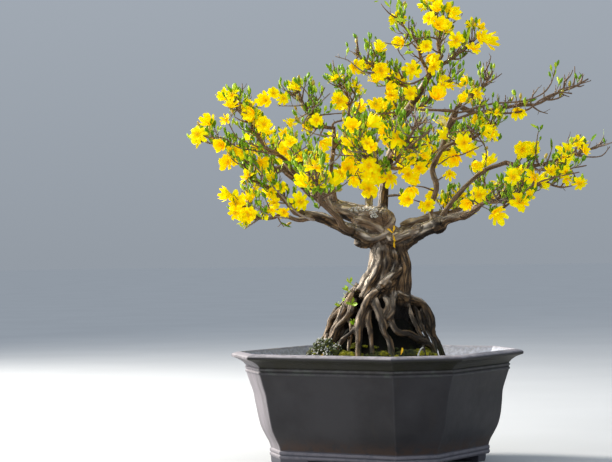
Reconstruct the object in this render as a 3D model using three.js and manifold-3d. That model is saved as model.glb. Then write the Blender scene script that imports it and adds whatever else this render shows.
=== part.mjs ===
// An old apricot blossom bonsai standing in an eight-sided clay pot.
// Millimetres, +Z up, +X to the right and +Y away from whoever looks at the front of the tree.
// Places are given from the middle of the pot's rim, and the whole is set on the ground at the end.

import * as THREE from 'three';
import { mergeVertices } from 'three/addons/utils/BufferGeometryUtils.js';
import Module from 'manifold-3d';

const wasm = await Module();
wasm.setup();

// Clearances
const GAP = 0.3;                // left between two pieces that touch
const GROWN = 0.4;              // a limb is cut out of its neighbour this much thicker
const SAMPLE_GAP = 1.5;         // kept by twigs and blossom from a limb and from the next mass
const WELD = 0.03;              // cut edges shorter than this are closed up

// The pot: a rectangle with cut corners, its walls drawn in from the rim
const POT_TURN = THREE.MathUtils.degToRad(-30.6);
const POT_FRONT = 295;          // length of the front and back faces at the rim
const POT_SIDE = 257;           // length of the side faces at the rim
const POT_CUT = 131;            // length of the four cut corners at the rim
const POT_HEIGHT = 205;         // rim above the ground
const POT_FOOT = 14;            // height of the feet
const FOOT_WRAP = 22;           // how far a foot runs on past its corner
const BASE_INSET = 67;          // the base lies this far inside the rim
const FOOT_DRAFT = 2;           // a foot narrows by this much downwards
const POT_FLOOR = -172;         // top of the pot's floor, below the rim
const POT_FACES = 8;

// Outer wall as inset from the rim and height below it: base, lower bead, belly, upper bead, lip
const POT_OUTSIDE = [
  [67, -191], [65, -188], [65, -178], [66.5, -175],
  [63.5, -164], [56, -149], [48.5, -131], [41, -93], [38, -73], [32, -56], [26, -35],
  [23.5, -33], [23.5, -24], [24.5, -22], [20, -16], [12, -11], [2, -7], [0, -5], [0, -1],
];
const RIM_TOP = [[3, 1], [13, 3.5], [16, 2]];
const POT_INSIDE = [[21, -10], [31, -24], [46, -56], [62, -131], [78, -163]];

// The soil and the mossy mound under the roots
const SOIL_LEVEL = -19;
const MOUND = [[0, 62], [48, 60], [72, 32], [92, 4], [112, -12], [124, SOIL_LEVEL - 6]];
const MOUND_CENTRE = [2, -4];
const MOUND_SIDES = 12;

// The trunk: a fluted core from the soil to the crotch, knots and surface roots
const TRUNK_FOOT = [2, 0, SOIL_LEVEL - 4];
const TRUNK_TIP = [14, 2, 262];
const TRUNK_BOW = [11, 0, 0];
const TRUNK_BASE_RADIUS = 62;
const TRUNK_WAIST_RADIUS = 35;
const TRUNK_TIP_RADIUS = 25;
const TRUNK_WAIST = 0.69;       // share of the trunk's length below its waist
const TRUNK_SIDES = 12;
const TRUNK_STEPS = 8;
const FLUTE_WIDE = 0.07;        // depth of the three wide flutes, as a share of the radius
const FLUTE_NARROW = 0.045;     // depth of the five narrow ones
const KNOTS = [
  { place: [-8, 0, 246], size: [36, 31, 27] },
  { place: [30, -6, 208], size: [30, 30, 26] },
  { place: [6, -20, 222], size: [22, 20, 22] },
  { place: [-22, -14, 205], size: [22, 18, 15] },
  { place: [44, -30, 112], size: [20, 14, 18] },
  { place: [-4, -14, 134], size: [30, 28, 42] },
];

// Roots: bearing and height where each leaves the trunk, bearing and distance of its foot.
// A low shoulder number throws the root out early, a high one keeps it close to the trunk.
const ROOTS = [
  { top: -60, height: 152, foot: -116, reach: 112, shoulder: 1.1, thick: 12, thin: 8 },
  { top: -98, height: 122, foot: -86, reach: 106, shoulder: 1.3, thick: 14, thin: 7 },
  { top: -84, height: 66, foot: -38, reach: 132, shoulder: 0.7, thick: 10, thin: 6 },
  { top: -46, height: 110, foot: 0, reach: 126, shoulder: 0.42, thick: 12, thin: 7 },
  { top: -30, height: 92, foot: -44, reach: 104, shoulder: 0.8, thick: 9, thin: 6 },
  { top: -14, height: 84, foot: -22, reach: 118, shoulder: 0.6, thick: 9, thin: 6 },
  { top: 198, height: 132, foot: 203, reach: 116, shoulder: 0.7, thick: 11, thin: 6 },
  { top: 214, height: 104, foot: 220, reach: 118, shoulder: 0.9, thick: 11, thin: 7 },
  { top: 234, height: 74, foot: 229, reach: 114, shoulder: 1.0, thick: 9, thin: 6 },
  { top: 176, height: 96, foot: 178, reach: 130, shoulder: 0.8, thick: 12, thin: 8 },
  { top: 146, height: 124, foot: 144, reach: 118, shoulder: 0.8, thick: 13, thin: 7 },
  { top: 112, height: 104, foot: 118, reach: 112, shoulder: 1.0, thick: 11, thin: 7 },
  { top: 76, height: 130, foot: 84, reach: 118, shoulder: 0.8, thick: 13, thin: 7 },
  { top: 36, height: 112, foot: 44, reach: 120, shoulder: 0.6, thick: 12, thin: 7 },
];
const ROOT_SWAY = 7;            // sideways wander of a root, degrees
const ROOT_DROOP = 1.15;        // above one, a root runs level first and drops later
const ROOT_SIDES = 5;
const ROOT_STEPS = 5;

// Boughs, each to its own tip and bowed by so much at the middle. A row gives the name, the limb
// it grows from, how far along that, its tip, its bow, its radius at the foot and at the tip, and
// the radius of a knot at the tip if there is one.
const BOUGHS = [
  ['trunk_leader', 'trunk', 0.96, [120, 4, 540], [-31, 8, 0], 19, 5],
  ['bough_left_high', 'trunk', 0.93, [-163, 20, 338], [4, -4, -17], 21, 8],
  ['bough_left_low', 'trunk', 0.79, [-137, -44, 258], [0, -8, 1], 17, 7.5],
  ['bough_right', 'trunk', 0.76, [114, -30, 235], [0, 2, -4], 17, 14, 18],
  ['bough_right_back', 'trunk', 0.84, [102, 78, 250], [0, 8, -4], 14, 8],
  ['bough_back', 'trunk', 0.9, [-8, 112, 292], [0, 4, -10], 14, 7],
  ['bough_left_top', 'bough_left_high', 0.82, [-196, -8, 378], [4, 0, 8], 6, 4],
  ['bough_left_upright', 'bough_left_high', 0.46, [-76, -28, 404], [-7, -8, 0], 6, 4],
  ['bough_up_mid', 'bough_left_upright', 0.84, [-48, -22, 440], [6, 0, -3], 4, 3.4],
  ['bough_back_left', 'bough_left_high', 0.36, [-108, 98, 322], [0, 8, -4], 9, 6],
  ['bough_left_cross', 'bough_left_low', 0.5, [-102, -46, 309], [-4, -6, 4], 5.5, 4],
  ['bough_left_skirt', 'bough_left_low', 0.84, [-166, -66, 254], [0, -4, -6], 5.5, 4],
  ['bough_front_left', 'bough_left_low', 0.4, [-92, -112, 268], [0, -6, -6], 8, 5.5],
  ['bough_right_up', 'bough_right', 0.97, [149, -20, 444], [-19, -4, 0], 9, 5],
  ['bough_right_mid', 'bough_right', 0.97, [235, 20, 347], [-6, 6, 10], 7, 4.5],
  ['bough_right_low', 'bough_right', 0.97, [190, -60, 272], [0, -2, -3], 10, 6.5],
  ['bough_right_inner', 'bough_right_up', 0.55, [148, -54, 386], [2, -4, 6], 5, 4],
  ['bough_right_upper', 'bough_right_up', 0.84, [166, 14, 470], [0, 6, 2], 4.6, 3.8],
  ['bough_right_under', 'bough_right_low', 0.55, [186, -104, 268], [0, -8, -4], 5.5, 4],
];
const BEND_SPACING = 46;        // a limb changes direction about this often
const KINK = 6;                 // and wanders this far from its line there
const BOUGH_STEP = 40;          // length of one facet along a bough
const STEM_STEP = 45;           // and along a mass's stem
const ROOT_SWELL = 0.4;         // a limb's foot is this much thicker than its own taper
const SWELL_LENGTH = 0.07;      // and loses that over this share of its length

// Masses of blossom. A row gives the name, the limb the mass's stem meets, how far along that, the
// stem's far tip, its bow, and how far the twigs reach from the stem.
const MASSES = [
  ['blossom_left_tip', 'bough_left_high', 1, [-312, 2, 404], [0, 2, -8], 50],
  ['blossom_left_top', 'bough_left_top', 1, [-262, -14, 468], [-8, 4, 6], 50],
  ['blossom_left_low', 'bough_left_low', 1, [-244, -34, 352], [4, -2, -8], 46],
  ['blossom_left_skirt', 'bough_left_skirt', 1, [-240, -84, 272], [-4, 0, -10], 46],
  ['blossom_left_mid', 'bough_left_cross', 1, [-142, -84, 372], [-4, -4, 0], 50],
  ['blossom_front_left', 'bough_front_left', 1, [-128, -236, 330], [4, 0, -8], 54],
  ['blossom_left_crest', 'bough_left_upright', 1, [-140, -46, 482], [-14, -4, -4], 50],
  ['blossom_up_mid', 'bough_up_mid', 1, [-56, -14, 506], [8, 0, 4], 48],
  ['blossom_mid_left', 'trunk_leader', 0.5, [-36, 26, 424], [4, 8, 8], 50],
  ['blossom_top_left', 'trunk_leader', 0.8, [-36, -24, 556], [0, 4, -8], 50],
  ['blossom_top_mid', 'trunk_leader', 0.91, [44, -22, 622], [2, -6, 6], 46],
  ['blossom_apex', 'trunk_leader', 1, [108, 8, 646], [12, 0, 0], 46],
  ['blossom_top_right', 'trunk_leader', 0.95, [192, -8, 582], [4, -2, -4], 44],
  ['blossom_mid_right', 'trunk_leader', 0.68, [142, -34, 508], [2, -6, -8], 44],
  ['blossom_mid_back', 'trunk_leader', 0.6, [72, 190, 488], [-4, 0, -12], 62],
  ['blossom_mid_front', 'trunk_leader', 0.2, [-34, -172, 390], [4, 4, -10], 58],
  ['blossom_front_right', 'trunk_leader', 0.36, [66, -224, 416], [4, 0, -12], 58],
  ['blossom_back_right', 'trunk_leader', 0.3, [182, 232, 420], [0, 6, -14], 66],
  ['blossom_back', 'bough_back', 1, [-34, 286, 386], [0, 4, -12], 64],
  ['blossom_back_left', 'bough_back_left', 1, [-216, 208, 398], [4, 6, -10], 64],
  ['blossom_right_back', 'bough_right_back', 1, [226, 172, 314], [0, 4, -12], 60],
  ['blossom_right_inner', 'bough_right_inner', 1, [222, -72, 418], [0, -4, -6], 48],
  ['blossom_right_upper', 'bough_right_upper', 1, [224, 56, 516], [0, 2, -6], 48],
  ['blossom_right_top', 'bough_right_up', 1, [396, -34, 502], [10, 0, -16], 40],
  ['blossom_right_mid', 'bough_right_mid', 1, [436, 34, 390], [4, 0, -16], 46],
  ['blossom_right_low', 'bough_right_low', 1, [352, -80, 336], [0, -4, -8], 46],
  ['blossom_right_under', 'bough_right_under', 1, [254, -206, 306], [4, -2, -10], 52],
];

// Twigs, blossom and buds
const TWIG_SPACING = 40;        // stem length to each twig
const TWIG_TRIES = 4;           // places tried before a twig is skipped
const TWIG_THICK = 2.3;
const TWIG_THIN = 1.4;
const STEM_SIDES = 4;
const TWIG_SIDES = 3;
const TWIG_RISE = 0.35;         // how much twigs turn up
const FLOWER_SHARE = 0.85;      // share of the twigs that end in a flower
const SIDE_FLOWER_SHARE = 0.2;  // share that carry another half-way
const BUD_SHARE = 0.25;         // share that carry a bud there instead
const PETALS = 5;
const PETAL_TIP = 23;           // from the flower's middle to a petal's tip
const PETAL_NOTCH = 14;         // and to the notch between two petals
const PETAL_LIFT = 5;           // height of the petal tips over the middle
const FLOWER_TOP = 1.5;
const CALYX_DEPTH = 9;          // the green cup under the petals
const SIDE_STALK = 6;           // a side flower stands this far off its twig
const FLOWER_SPACING = 36;      // between the middles of two flowers of one mass
const BUD_LENGTH = 17;
const BUD_RADIUS = 3.4;
const GOLDEN_TURN = Math.PI * (3 - Math.sqrt(5));

// Seeds of the chance in the shapes
const ROOT_SEED = 11;
const BOUGH_SEED = 40;
const MASS_SEED = 302;

const UP = new THREE.Vector3(0, 0, 1);
const SPIN_AXIS = new THREE.Vector3(0, 1, 0);
const vector = ([x, y, z]) => new THREE.Vector3(x, y, z);

function seededRandom(seed) {
  let state = seed >>> 0;
  return () => {
    state = (state + 0x6d2b79f5) >>> 0;
    let mix = Math.imul(state ^ (state >>> 15), state | 1);
    mix = (mix + Math.imul(mix ^ (mix >>> 7), mix | 61)) ^ mix;
    return ((mix ^ (mix >>> 14)) >>> 0) / 4294967296;
  };
}

// From geometry to solid and back
function signedVolume(positions, index) {
  const corner = (i) => new THREE.Vector3().fromArray(positions, 3 * index[i]);
  let volume = 0;
  for (let i = 0; i < index.length; i += 3) {
    volume += corner(i).dot(corner(i + 1).cross(corner(i + 2)));
  }
  return volume / 6;
}

function solidOf(geometry) {
  geometry.deleteAttribute('normal');
  geometry.deleteAttribute('uv');
  const merged = mergeVertices(geometry, 1e-4);
  const positions = Float32Array.from(merged.attributes.position.array);
  const index = [];
  for (let i = 0; i < merged.index.count; i += 3) {
    const [a, b, c] = [0, 1, 2].map((step) => merged.index.getX(i + step));
    if (a !== b && b !== c && c !== a) index.push(a, b, c);
  }
  if (signedVolume(positions, index) < 0) index.reverse();
  const mesh = new wasm.Mesh({ numProp: 3, vertProperties: positions, triVerts: Uint32Array.from(index) });
  return new wasm.Manifold(mesh);
}

function geometryOf(solid) {
  const mesh = solid.simplify(WELD).getMesh();
  const geometry = new THREE.BufferGeometry();
  geometry.setAttribute('position', new THREE.BufferAttribute(mesh.vertProperties, 3));
  geometry.setIndex(new THREE.BufferAttribute(mesh.triVerts, 1));
  geometry.computeVertexNormals();
  return geometry;
}

// The largest piece of a solid: loose scraps and sealed hollows are left behind
function mainPiece(solid) {
  const pieces = solid.decompose();
  return pieces.reduce((best, piece) => (piece.volume() > best.volume() ? piece : best));
}

// A closed tube along a curve. grow makes it thicker and longer, for cutting its neighbours.
function tube(curve, radiusAt, sides, steps, grow = 0) {
  const geometry = new THREE.CylinderGeometry(1, 1, 1, sides, steps);
  const frames = curve.computeFrenetFrames(steps, false);
  const place = geometry.attributes.position;
  for (let i = 0; i < place.count; i += 1) {
    const row = Math.round((place.getY(i) + 0.5) * steps);
    const along = row / steps;
    const across = Math.hypot(place.getX(i), place.getZ(i));
    const turn = Math.atan2(place.getZ(i), place.getX(i));
    const radius = across * (radiusAt(along, turn) + grow);
    const overshoot = row === 0 ? -grow : row === steps ? grow : 0;
    const point = curve.getPointAt(along)
      .addScaledVector(frames.tangents[row], overshoot)
      .addScaledVector(frames.normals[row], radius * Math.cos(turn))
      .addScaledVector(frames.binormals[row], radius * Math.sin(turn));
    place.setXYZ(i, point.x, point.y, point.z);
  }
  return solidOf(geometry);
}

// The pot's eight corners, moved in from the rim by an inset
const POT_LEG = POT_CUT / Math.SQRT2;
const POT_HALF_WIDTH = POT_FRONT / 2 + POT_LEG;
const POT_HALF_DEPTH = POT_SIDE / 2 + POT_LEG;
const POT_HALF_CUT = (POT_HALF_WIDTH + POT_HALF_DEPTH - POT_LEG) / Math.SQRT2;

function potCorner(index, inset) {
  const faces = [POT_HALF_WIDTH, POT_HALF_CUT, POT_HALF_DEPTH, POT_HALF_CUT];
  const turn = 2 * Math.PI / POT_FACES;
  const [first, second] = [index, index + 1].map((face) => faces[face % faces.length] - inset);
  const [start, end] = [index * turn, (index + 1) * turn];
  const x = (first * Math.sin(end) - second * Math.sin(start)) / Math.sin(turn);
  const y = (second * Math.cos(start) - first * Math.cos(end)) / Math.sin(turn);
  return new THREE.Vector2(x, y).rotateAround(new THREE.Vector2(), POT_TURN);
}

// A closed eight-sided body from a profile of [inset, height], closed to the axis at both ends
function eightSided(profile) {
  const heights = profile.map(([, height]) => height);
  const points = profile.map(([inset, height]) => new THREE.Vector2(POT_HALF_DEPTH - inset, height));
  points.unshift(new THREE.Vector2(0, heights[0]));
  points.push(new THREE.Vector2(0, heights[heights.length - 1]));
  const geometry = new THREE.LatheGeometry(points, POT_FACES);
  const place = geometry.attributes.position;
  for (let i = 0; i < place.count; i += 1) {
    const [x, height, z] = [place.getX(i), place.getY(i), place.getZ(i)];
    const radius = Math.hypot(x, z);
    const index = (Math.round(Math.atan2(z, x) / (2 * Math.PI / POT_FACES)) + POT_FACES) % POT_FACES;
    const corner = radius > 1 ? potCorner(index, POT_HALF_DEPTH - radius) : new THREE.Vector2();
    place.setXYZ(i, corner.x, corner.y, height);
  }
  return solidOf(geometry);
}

function buildPot() {
  const inside = [...POT_INSIDE, [82, POT_FLOOR]];
  const body = eightSided([...POT_OUTSIDE, ...RIM_TOP, ...inside]);
  const underside = POT_OUTSIDE[0][1];
  const slab = eightSided([[BASE_INSET, underside + 1], [BASE_INSET + FOOT_DRAFT, underside - POT_FOOT]]);
  const corner = potCorner(0, BASE_INSET).rotateAround(new THREE.Vector2(), -POT_TURN);
  const next = potCorner(1, BASE_INSET).rotateAround(new THREE.Vector2(), -POT_TURN);
  const gapWidth = 2 * (Math.abs(next.x) - FOOT_WRAP);
  const gapDepth = 2 * (Math.abs(corner.y) - FOOT_WRAP);
  const tall = 4 * POT_FOOT;
  const past = 2 * POT_HALF_WIDTH;
  const gaps = [[gapWidth, past], [past, gapDepth]].map(([width, depth]) => {
    const box = new THREE.BoxGeometry(width, depth, tall).rotateZ(POT_TURN);
    return solidOf(box.translate(0, 0, underside - tall / 2));
  });
  const feet = gaps.reduce((left, gap) => left.subtract(gap), slab);
  return mainPiece(body.add(feet));
}

// Limbs
function bentRoute(start, tip, bow, random, lead = null) {
  const span = tip.clone().sub(start);
  const bends = Math.max(1, Math.round(span.length() / BEND_SPACING));
  const points = lead ? [start, lead] : [start];
  for (let i = 1; i <= bends; i += 1) {
    const along = i / (bends + 1);
    const wander = new THREE.Vector3(random() - 0.5, random() - 0.5, random() - 0.5);
    const point = start.clone().addScaledVector(span, along);
    point.addScaledVector(bow, 4 * along * (1 - along)).addScaledVector(wander, 2 * KINK);
    points.push(point);
  }
  points.push(tip);
  return new THREE.CatmullRomCurve3(points, false, 'catmullrom', 0.5);
}

function limbRadius(thick, thin) {
  return (along) => {
    const swell = 1 + ROOT_SWELL * Math.exp(-along / SWELL_LENGTH);
    return (thick + (thin - thick) * along) * swell;
  };
}

function trunkRadius(along, turn = null) {
  const below = Math.max(0, 1 - along / TRUNK_WAIST);
  const above = Math.max(0, (along - TRUNK_WAIST) / (1 - TRUNK_WAIST));
  const flare = (TRUNK_BASE_RADIUS - TRUNK_WAIST_RADIUS) * below ** 0.8;
  const taper = (TRUNK_WAIST_RADIUS - TRUNK_TIP_RADIUS) * above;
  const radius = TRUNK_WAIST_RADIUS + flare - taper;
  if (turn === null) return radius;
  const wide = FLUTE_WIDE * Math.cos(3 * turn + 4 * along);
  const narrow = FLUTE_NARROW * Math.cos(5 * turn - 7 * along);
  return radius * (1 + wide + narrow);
}

const trunkRandom = seededRandom(ROOT_SEED);
const trunkCurve = bentRoute(vector(TRUNK_FOOT), vector(TRUNK_TIP), vector(TRUNK_BOW), trunkRandom);

function rootCurve(root, random) {
  const points = [];
  const trunkLength = TRUNK_TIP[2] - TRUNK_FOOT[2];
  const foot = SOIL_LEVEL - root.thin;
  const leave = (root.height - TRUNK_FOOT[2]) / trunkLength;
  const axis = trunkCurve.getPointAt(leave);
  const inside = trunkRadius(leave) - root.thick;
  for (let i = 0; i < ROOT_STEPS; i += 1) {
    const along = i / (ROOT_STEPS - 1);
    const sway = ROOT_SWAY * (random() - 0.5) * 2 * Math.sin(Math.PI * along);
    const bearing = THREE.MathUtils.degToRad(root.top + (root.foot - root.top) * along + sway);
    const distance = inside + (root.reach - inside) * along ** root.shoulder;
    const height = root.height + (foot - root.height) * along ** ROOT_DROOP;
    const middle = axis.clone().multiplyScalar(1 - along);
    points.push(new THREE.Vector3(
      middle.x + distance * Math.cos(bearing),
      middle.y + distance * Math.sin(bearing),
      height,
    ));
  }
  return new THREE.CatmullRomCurve3(points, false, 'catmullrom', 0.5);
}

function trunkSolid(grow) {
  const random = seededRandom(ROOT_SEED + 1);
  const pieces = [tube(trunkCurve, trunkRadius, TRUNK_SIDES, TRUNK_STEPS, grow)];
  for (const { place, size } of KNOTS) {
    const knot = new THREE.IcosahedronGeometry(1, 1).scale(...size.map((half) => half + grow));
    pieces.push(solidOf(knot.translate(...place)));
  }
  for (const root of ROOTS) {
    const thickness = (along) => root.thick + (root.thin - root.thick) * along;
    pieces.push(tube(rootCurve(root, random), thickness, ROOT_SIDES, ROOT_STEPS, grow));
  }
  const whole = wasm.Manifold.union(pieces);
  const depth = 80;
  const below = new THREE.BoxGeometry(4 * TRUNK_BASE_RADIUS, 4 * TRUNK_BASE_RADIUS, depth);
  below.translate(0, 0, SOIL_LEVEL - grow - depth / 2);
  return mainPiece(whole.subtract(solidOf(below)));
}

// Every limb's curve, thickness and middle line, in growing order
const limbs = new Map();
limbs.set('trunk', { curve: trunkCurve, radiusAt: trunkRadius });
BOUGHS.forEach(([name, from, along, tip, bow, thick, thin, knot], order) => {
  const start = limbs.get(from).curve.getPointAt(along);
  const random = seededRandom(BOUGH_SEED + order);
  const curve = bentRoute(start, vector(tip), vector(bow), random);
  limbs.set(name, { curve, radiusAt: limbRadius(thick, thin), knot });
});

function sidesFor(radius) {
  return radius > 12 ? 7 : radius > 7 ? 6 : 5;
}

function boughSolid(name, grow) {
  const { curve, radiusAt, knot } = limbs.get(name);
  const steps = Math.max(3, Math.round(curve.getLength() / BOUGH_STEP));
  const bough = tube(curve, radiusAt, sidesFor(radiusAt(0.5)), steps, grow);
  if (!knot) return bough;
  const ball = new THREE.IcosahedronGeometry(knot + grow, 1);
  return bough.add(solidOf(ball.translate(...curve.getPointAt(1).toArray())));
}

// Stems of the masses. One that goes on from a bough's tip starts in the bough's own direction.
const STEM_LEAD = 12;
const SIDE_STEM_THICK = 4;
const STEM_SAMPLES = 14;
const masses = MASSES.map(([name, from, along, tip, bow, reach], order) => {
  const { curve, radiusAt } = limbs.get(from);
  const random = seededRandom(MASS_SEED + order);
  const joinsTip = along === 1;
  const onward = curve.getTangentAt(1);
  const start = curve.getPointAt(along);
  if (joinsTip) start.addScaledVector(onward, GAP);
  const lead = joinsTip ? start.clone().addScaledVector(onward, STEM_LEAD) : null;
  const stem = bentRoute(start, vector(tip), vector(bow), random, lead);
  const thick = joinsTip ? radiusAt(1) : SIDE_STEM_THICK;
  const line = stem.getSpacedPoints(STEM_SAMPLES);
  return { name, from, joinsTip, stem, thick, reach, random, line, blooms: [] };
});

// Distances to stems and limbs
function distanceToLine(line, point) {
  const segment = new THREE.Line3();
  const nearest = new THREE.Vector3();
  let best = Infinity;
  for (let i = 1; i < line.length; i += 1) {
    segment.set(line[i - 1], line[i]).closestPointToPoint(point, true, nearest);
    best = Math.min(best, nearest.distanceTo(point));
  }
  return best;
}

const LIMB_SAMPLES = 24;
for (const limb of limbs.values()) {
  limb.balls = Array.from({ length: LIMB_SAMPLES + 1 }, (unused, i) => {
    const along = i / LIMB_SAMPLES;
    return { centre: limb.curve.getPointAt(along), radius: limb.radiusAt(along) };
  });
  if (limb.knot) limb.balls.push({ centre: limb.curve.getPointAt(1), radius: limb.knot });
}
for (const { place, size } of KNOTS) {
  limbs.get('trunk').balls.push({ centre: vector(place), radius: Math.max(...size) });
}

function clearOfLimbs(point) {
  for (const { balls } of limbs.values()) {
    for (const { centre, radius } of balls) {
      if (centre.distanceTo(point) < radius + SAMPLE_GAP + 1) return false;
    }
  }
  return true;
}

// A mass's own space: within reach of its stem, nearer to it than to any other, and off the limbs
function hasRoom(points, mass) {
  return points.every((point) => {
    const own = distanceToLine(mass.line, point);
    if (own > mass.reach || !clearOfLimbs(point)) return false;
    return masses.every((other) => (
      other === mass || distanceToLine(other.line, point) > own + SAMPLE_GAP
    ));
  });
}

// Blossom and buds, modelled upright along Y and then turned to their own direction
function setAlong(geometry, origin, direction, spin) {
  geometry.rotateY(spin);
  geometry.applyQuaternion(new THREE.Quaternion().setFromUnitVectors(SPIN_AXIS, direction));
  return geometry.translate(origin.x, origin.y, origin.z);
}

function flowerGeometry() {
  const geometry = new THREE.SphereGeometry(1, 2 * PETALS, 2);
  const place = geometry.attributes.position;
  for (let i = 0; i < place.count; i += 1) {
    const height = place.getY(i);
    const turn = Math.atan2(place.getZ(i), place.getX(i));
    const corner = Math.round(turn * PETALS / Math.PI);
    if (Math.abs(height) > 0.5) {
      place.setXYZ(i, 0, height > 0 ? FLOWER_TOP : -CALYX_DEPTH, 0);
    } else {
      const isTip = corner % 2 === 0;
      const radius = isTip ? PETAL_TIP : PETAL_NOTCH;
      const lift = isTip ? PETAL_LIFT : PETAL_LIFT / 2;
      place.setXYZ(i, radius * Math.cos(turn), lift, radius * Math.sin(turn));
    }
  }
  return geometry;
}

function budGeometry() {
  return new THREE.OctahedronGeometry(1, 0).scale(BUD_RADIUS, BUD_LENGTH / 2, BUD_RADIUS);
}

function cornersOf(geometry) {
  const place = geometry.attributes.position;
  const corner = (unused, i) => new THREE.Vector3().fromBufferAttribute(place, i);
  return Array.from({ length: place.count }, corner);
}

function someDirection(random) {
  return new THREE.Vector3(random() - 0.5, random() - 0.5, random() - 0.5).multiplyScalar(2);
}

function addFlower(mass, solids, origin, direction) {
  const { random, blooms } = mass;
  const facing = direction.clone().addScaledVector(UP, 0.4);
  facing.addScaledVector(someDirection(random), 0.35).normalize();
  const flower = setAlong(flowerGeometry(), origin, facing, random() * 2 * Math.PI);
  const crowded = blooms.some((bloom) => bloom.distanceTo(origin) < FLOWER_SPACING);
  if (crowded || !hasRoom(cornersOf(flower), mass)) return;
  blooms.push(origin);
  solids.push(solidOf(flower));
}

function addBud(mass, solids, origin, direction) {
  const { random } = mass;
  const facing = direction.clone().addScaledVector(UP, 0.8);
  facing.addScaledVector(someDirection(random), 0.5).normalize();
  const middle = origin.clone().addScaledVector(facing, BUD_LENGTH / 2 - 2);
  const bud = setAlong(budGeometry(), middle, facing, 0);
  if (hasRoom(cornersOf(bud), mass)) solids.push(solidOf(bud));
}

// One twig: it leaves the stem sideways and forwards and turns up
function twigCurve(mass, along, turn) {
  const { random, stem, reach } = mass;
  const onward = stem.getTangentAt(along);
  const across = new THREE.Vector3().crossVectors(onward, UP).normalize();
  const upright = new THREE.Vector3().crossVectors(across, onward);
  const side = across.multiplyScalar(Math.cos(turn)).addScaledVector(upright, Math.sin(turn));
  const lean = 0.7 + 0.5 * random();
  const heading = onward.multiplyScalar(Math.cos(lean)).addScaledVector(side, Math.sin(lean));
  heading.addScaledVector(UP, TWIG_RISE).normalize();
  const length = reach * (0.55 + 0.4 * random()) * (1 - 0.25 * along);
  const root = stem.getPointAt(along);
  const middle = root.clone().addScaledVector(heading, length / 2);
  heading.addScaledVector(UP, TWIG_RISE).addScaledVector(someDirection(random), 0.2).normalize();
  const end = middle.clone().addScaledVector(heading, length / 2);
  return new THREE.CatmullRomCurve3([root, middle, end], false, 'catmullrom', 0.5);
}

function addTwig(mass, solids, along, turn) {
  const curve = twigCurve(mass, along, turn);
  const fromStem = curve.getSpacedPoints(4).slice(1);
  if (!hasRoom(fromStem, mass)) return false;
  const { random } = mass;
  solids.push(tube(curve, (share) => TWIG_THICK + (TWIG_THIN - TWIG_THICK) * share, TWIG_SIDES, 1));
  const [middle, end] = [curve.getPointAt(0.55), curve.getPointAt(1)];
  const heading = curve.getTangentAt(1);
  if (random() < FLOWER_SHARE) addFlower(mass, solids, end, heading);
  else addBud(mass, solids, end, heading);
  const aside = new THREE.Vector3().crossVectors(heading, someDirection(random)).normalize();
  const chance = random();
  if (chance < SIDE_FLOWER_SHARE) {
    addFlower(mass, solids, middle.clone().addScaledVector(aside, SIDE_STALK), aside);
  } else if (chance < SIDE_FLOWER_SHARE + BUD_SHARE) addBud(mass, solids, middle, aside);
  return true;
}

function massSolid(mass) {
  const { stem, thick } = mass;
  const length = stem.getLength();
  const steps = Math.max(3, Math.round(length / STEM_STEP));
  const solids = [tube(stem, (share) => thick + (TWIG_THIN - thick) * share, STEM_SIDES, steps)];
  const count = Math.max(3, Math.round(length / TWIG_SPACING));
  let turn = mass.random() * 2 * Math.PI;
  for (let i = 0; i < count; i += 1) {
    const along = 0.14 + 0.84 * (i + 0.5) / count;
    for (let attempt = 0; attempt < TWIG_TRIES; attempt += 1) {
      turn += GOLDEN_TURN;
      if (addTwig(mass, solids, along, turn)) break;
    }
  }
  addFlower(mass, solids, stem.getPointAt(1), stem.getTangentAt(1));
  return wasm.Manifold.union(solids);
}

function soilSolid(trunkGrown) {
  const innerWall = [...RIM_TOP.slice(-1), ...POT_INSIDE, [82, POT_FLOOR]];
  const upper = innerWall.findIndex(([, height]) => height < SOIL_LEVEL);
  const [[insetAbove, above], [insetBelow, below]] = [innerWall[upper - 1], innerWall[upper]];
  const share = (above - SOIL_LEVEL) / (above - below);
  const profile = [[insetAbove + (insetBelow - insetAbove) * share, SOIL_LEVEL], ...innerWall.slice(upper)];
  const fill = eightSided(profile.map(([inset, height], i) => (
    [inset + 2 * GAP, height + (i === profile.length - 1 ? GAP : 0)]
  )));
  const outline = MOUND.map(([radius, height]) => new THREE.Vector2(radius, height));
  outline.push(new THREE.Vector2(0, outline[outline.length - 1].y));
  const mound = new THREE.LatheGeometry(outline, MOUND_SIDES).rotateX(Math.PI / 2);
  mound.translate(...MOUND_CENTRE, 0);
  return mainPiece(fill.add(solidOf(mound)).subtract(trunkGrown));
}

// Materials
const CLAY = { color: 0x4a4543, roughness: 0.75, metalness: 0 };
const EARTH = { color: 0x33301f, roughness: 1, metalness: 0 };
const BARK = { color: 0x6b5340, roughness: 0.9, metalness: 0 };
const PETAL_YELLOW = { color: 0xf7cf12, roughness: 0.6, metalness: 0 };

const tree = new THREE.Group();

function addPiece(name, solid, finish) {
  const piece = new THREE.Mesh(geometryOf(solid), new THREE.MeshStandardMaterial(finish));
  piece.name = name;
  tree.add(piece);
}

// Assembly: each limb and mass is cut clear of the limbs that came before it
const trunkGrown = trunkSolid(GROWN);
addPiece('pot', buildPot(), CLAY);
addPiece('soil', soilSolid(trunkGrown), EARTH);
addPiece('trunk', trunkSolid(0), BARK);

const grownLimbs = new Map([['trunk', trunkGrown]]);
for (const [name, from] of BOUGHS) {
  let bough = boughSolid(name, 0);
  for (const [other, grown] of grownLimbs) {
    const touches = other === from || grown.intersect(bough).volume() > 0;
    if (touches) bough = bough.subtract(grown);
  }
  addPiece(name, mainPiece(bough), BARK);
  grownLimbs.set(name, boughSolid(name, GROWN));
}
for (const mass of masses) {
  let blossom = massSolid(mass);
  if (!mass.joinsTip) blossom = blossom.subtract(grownLimbs.get(mass.from));
  addPiece(mass.name, mainPiece(blossom), PETAL_YELLOW);
}

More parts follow.
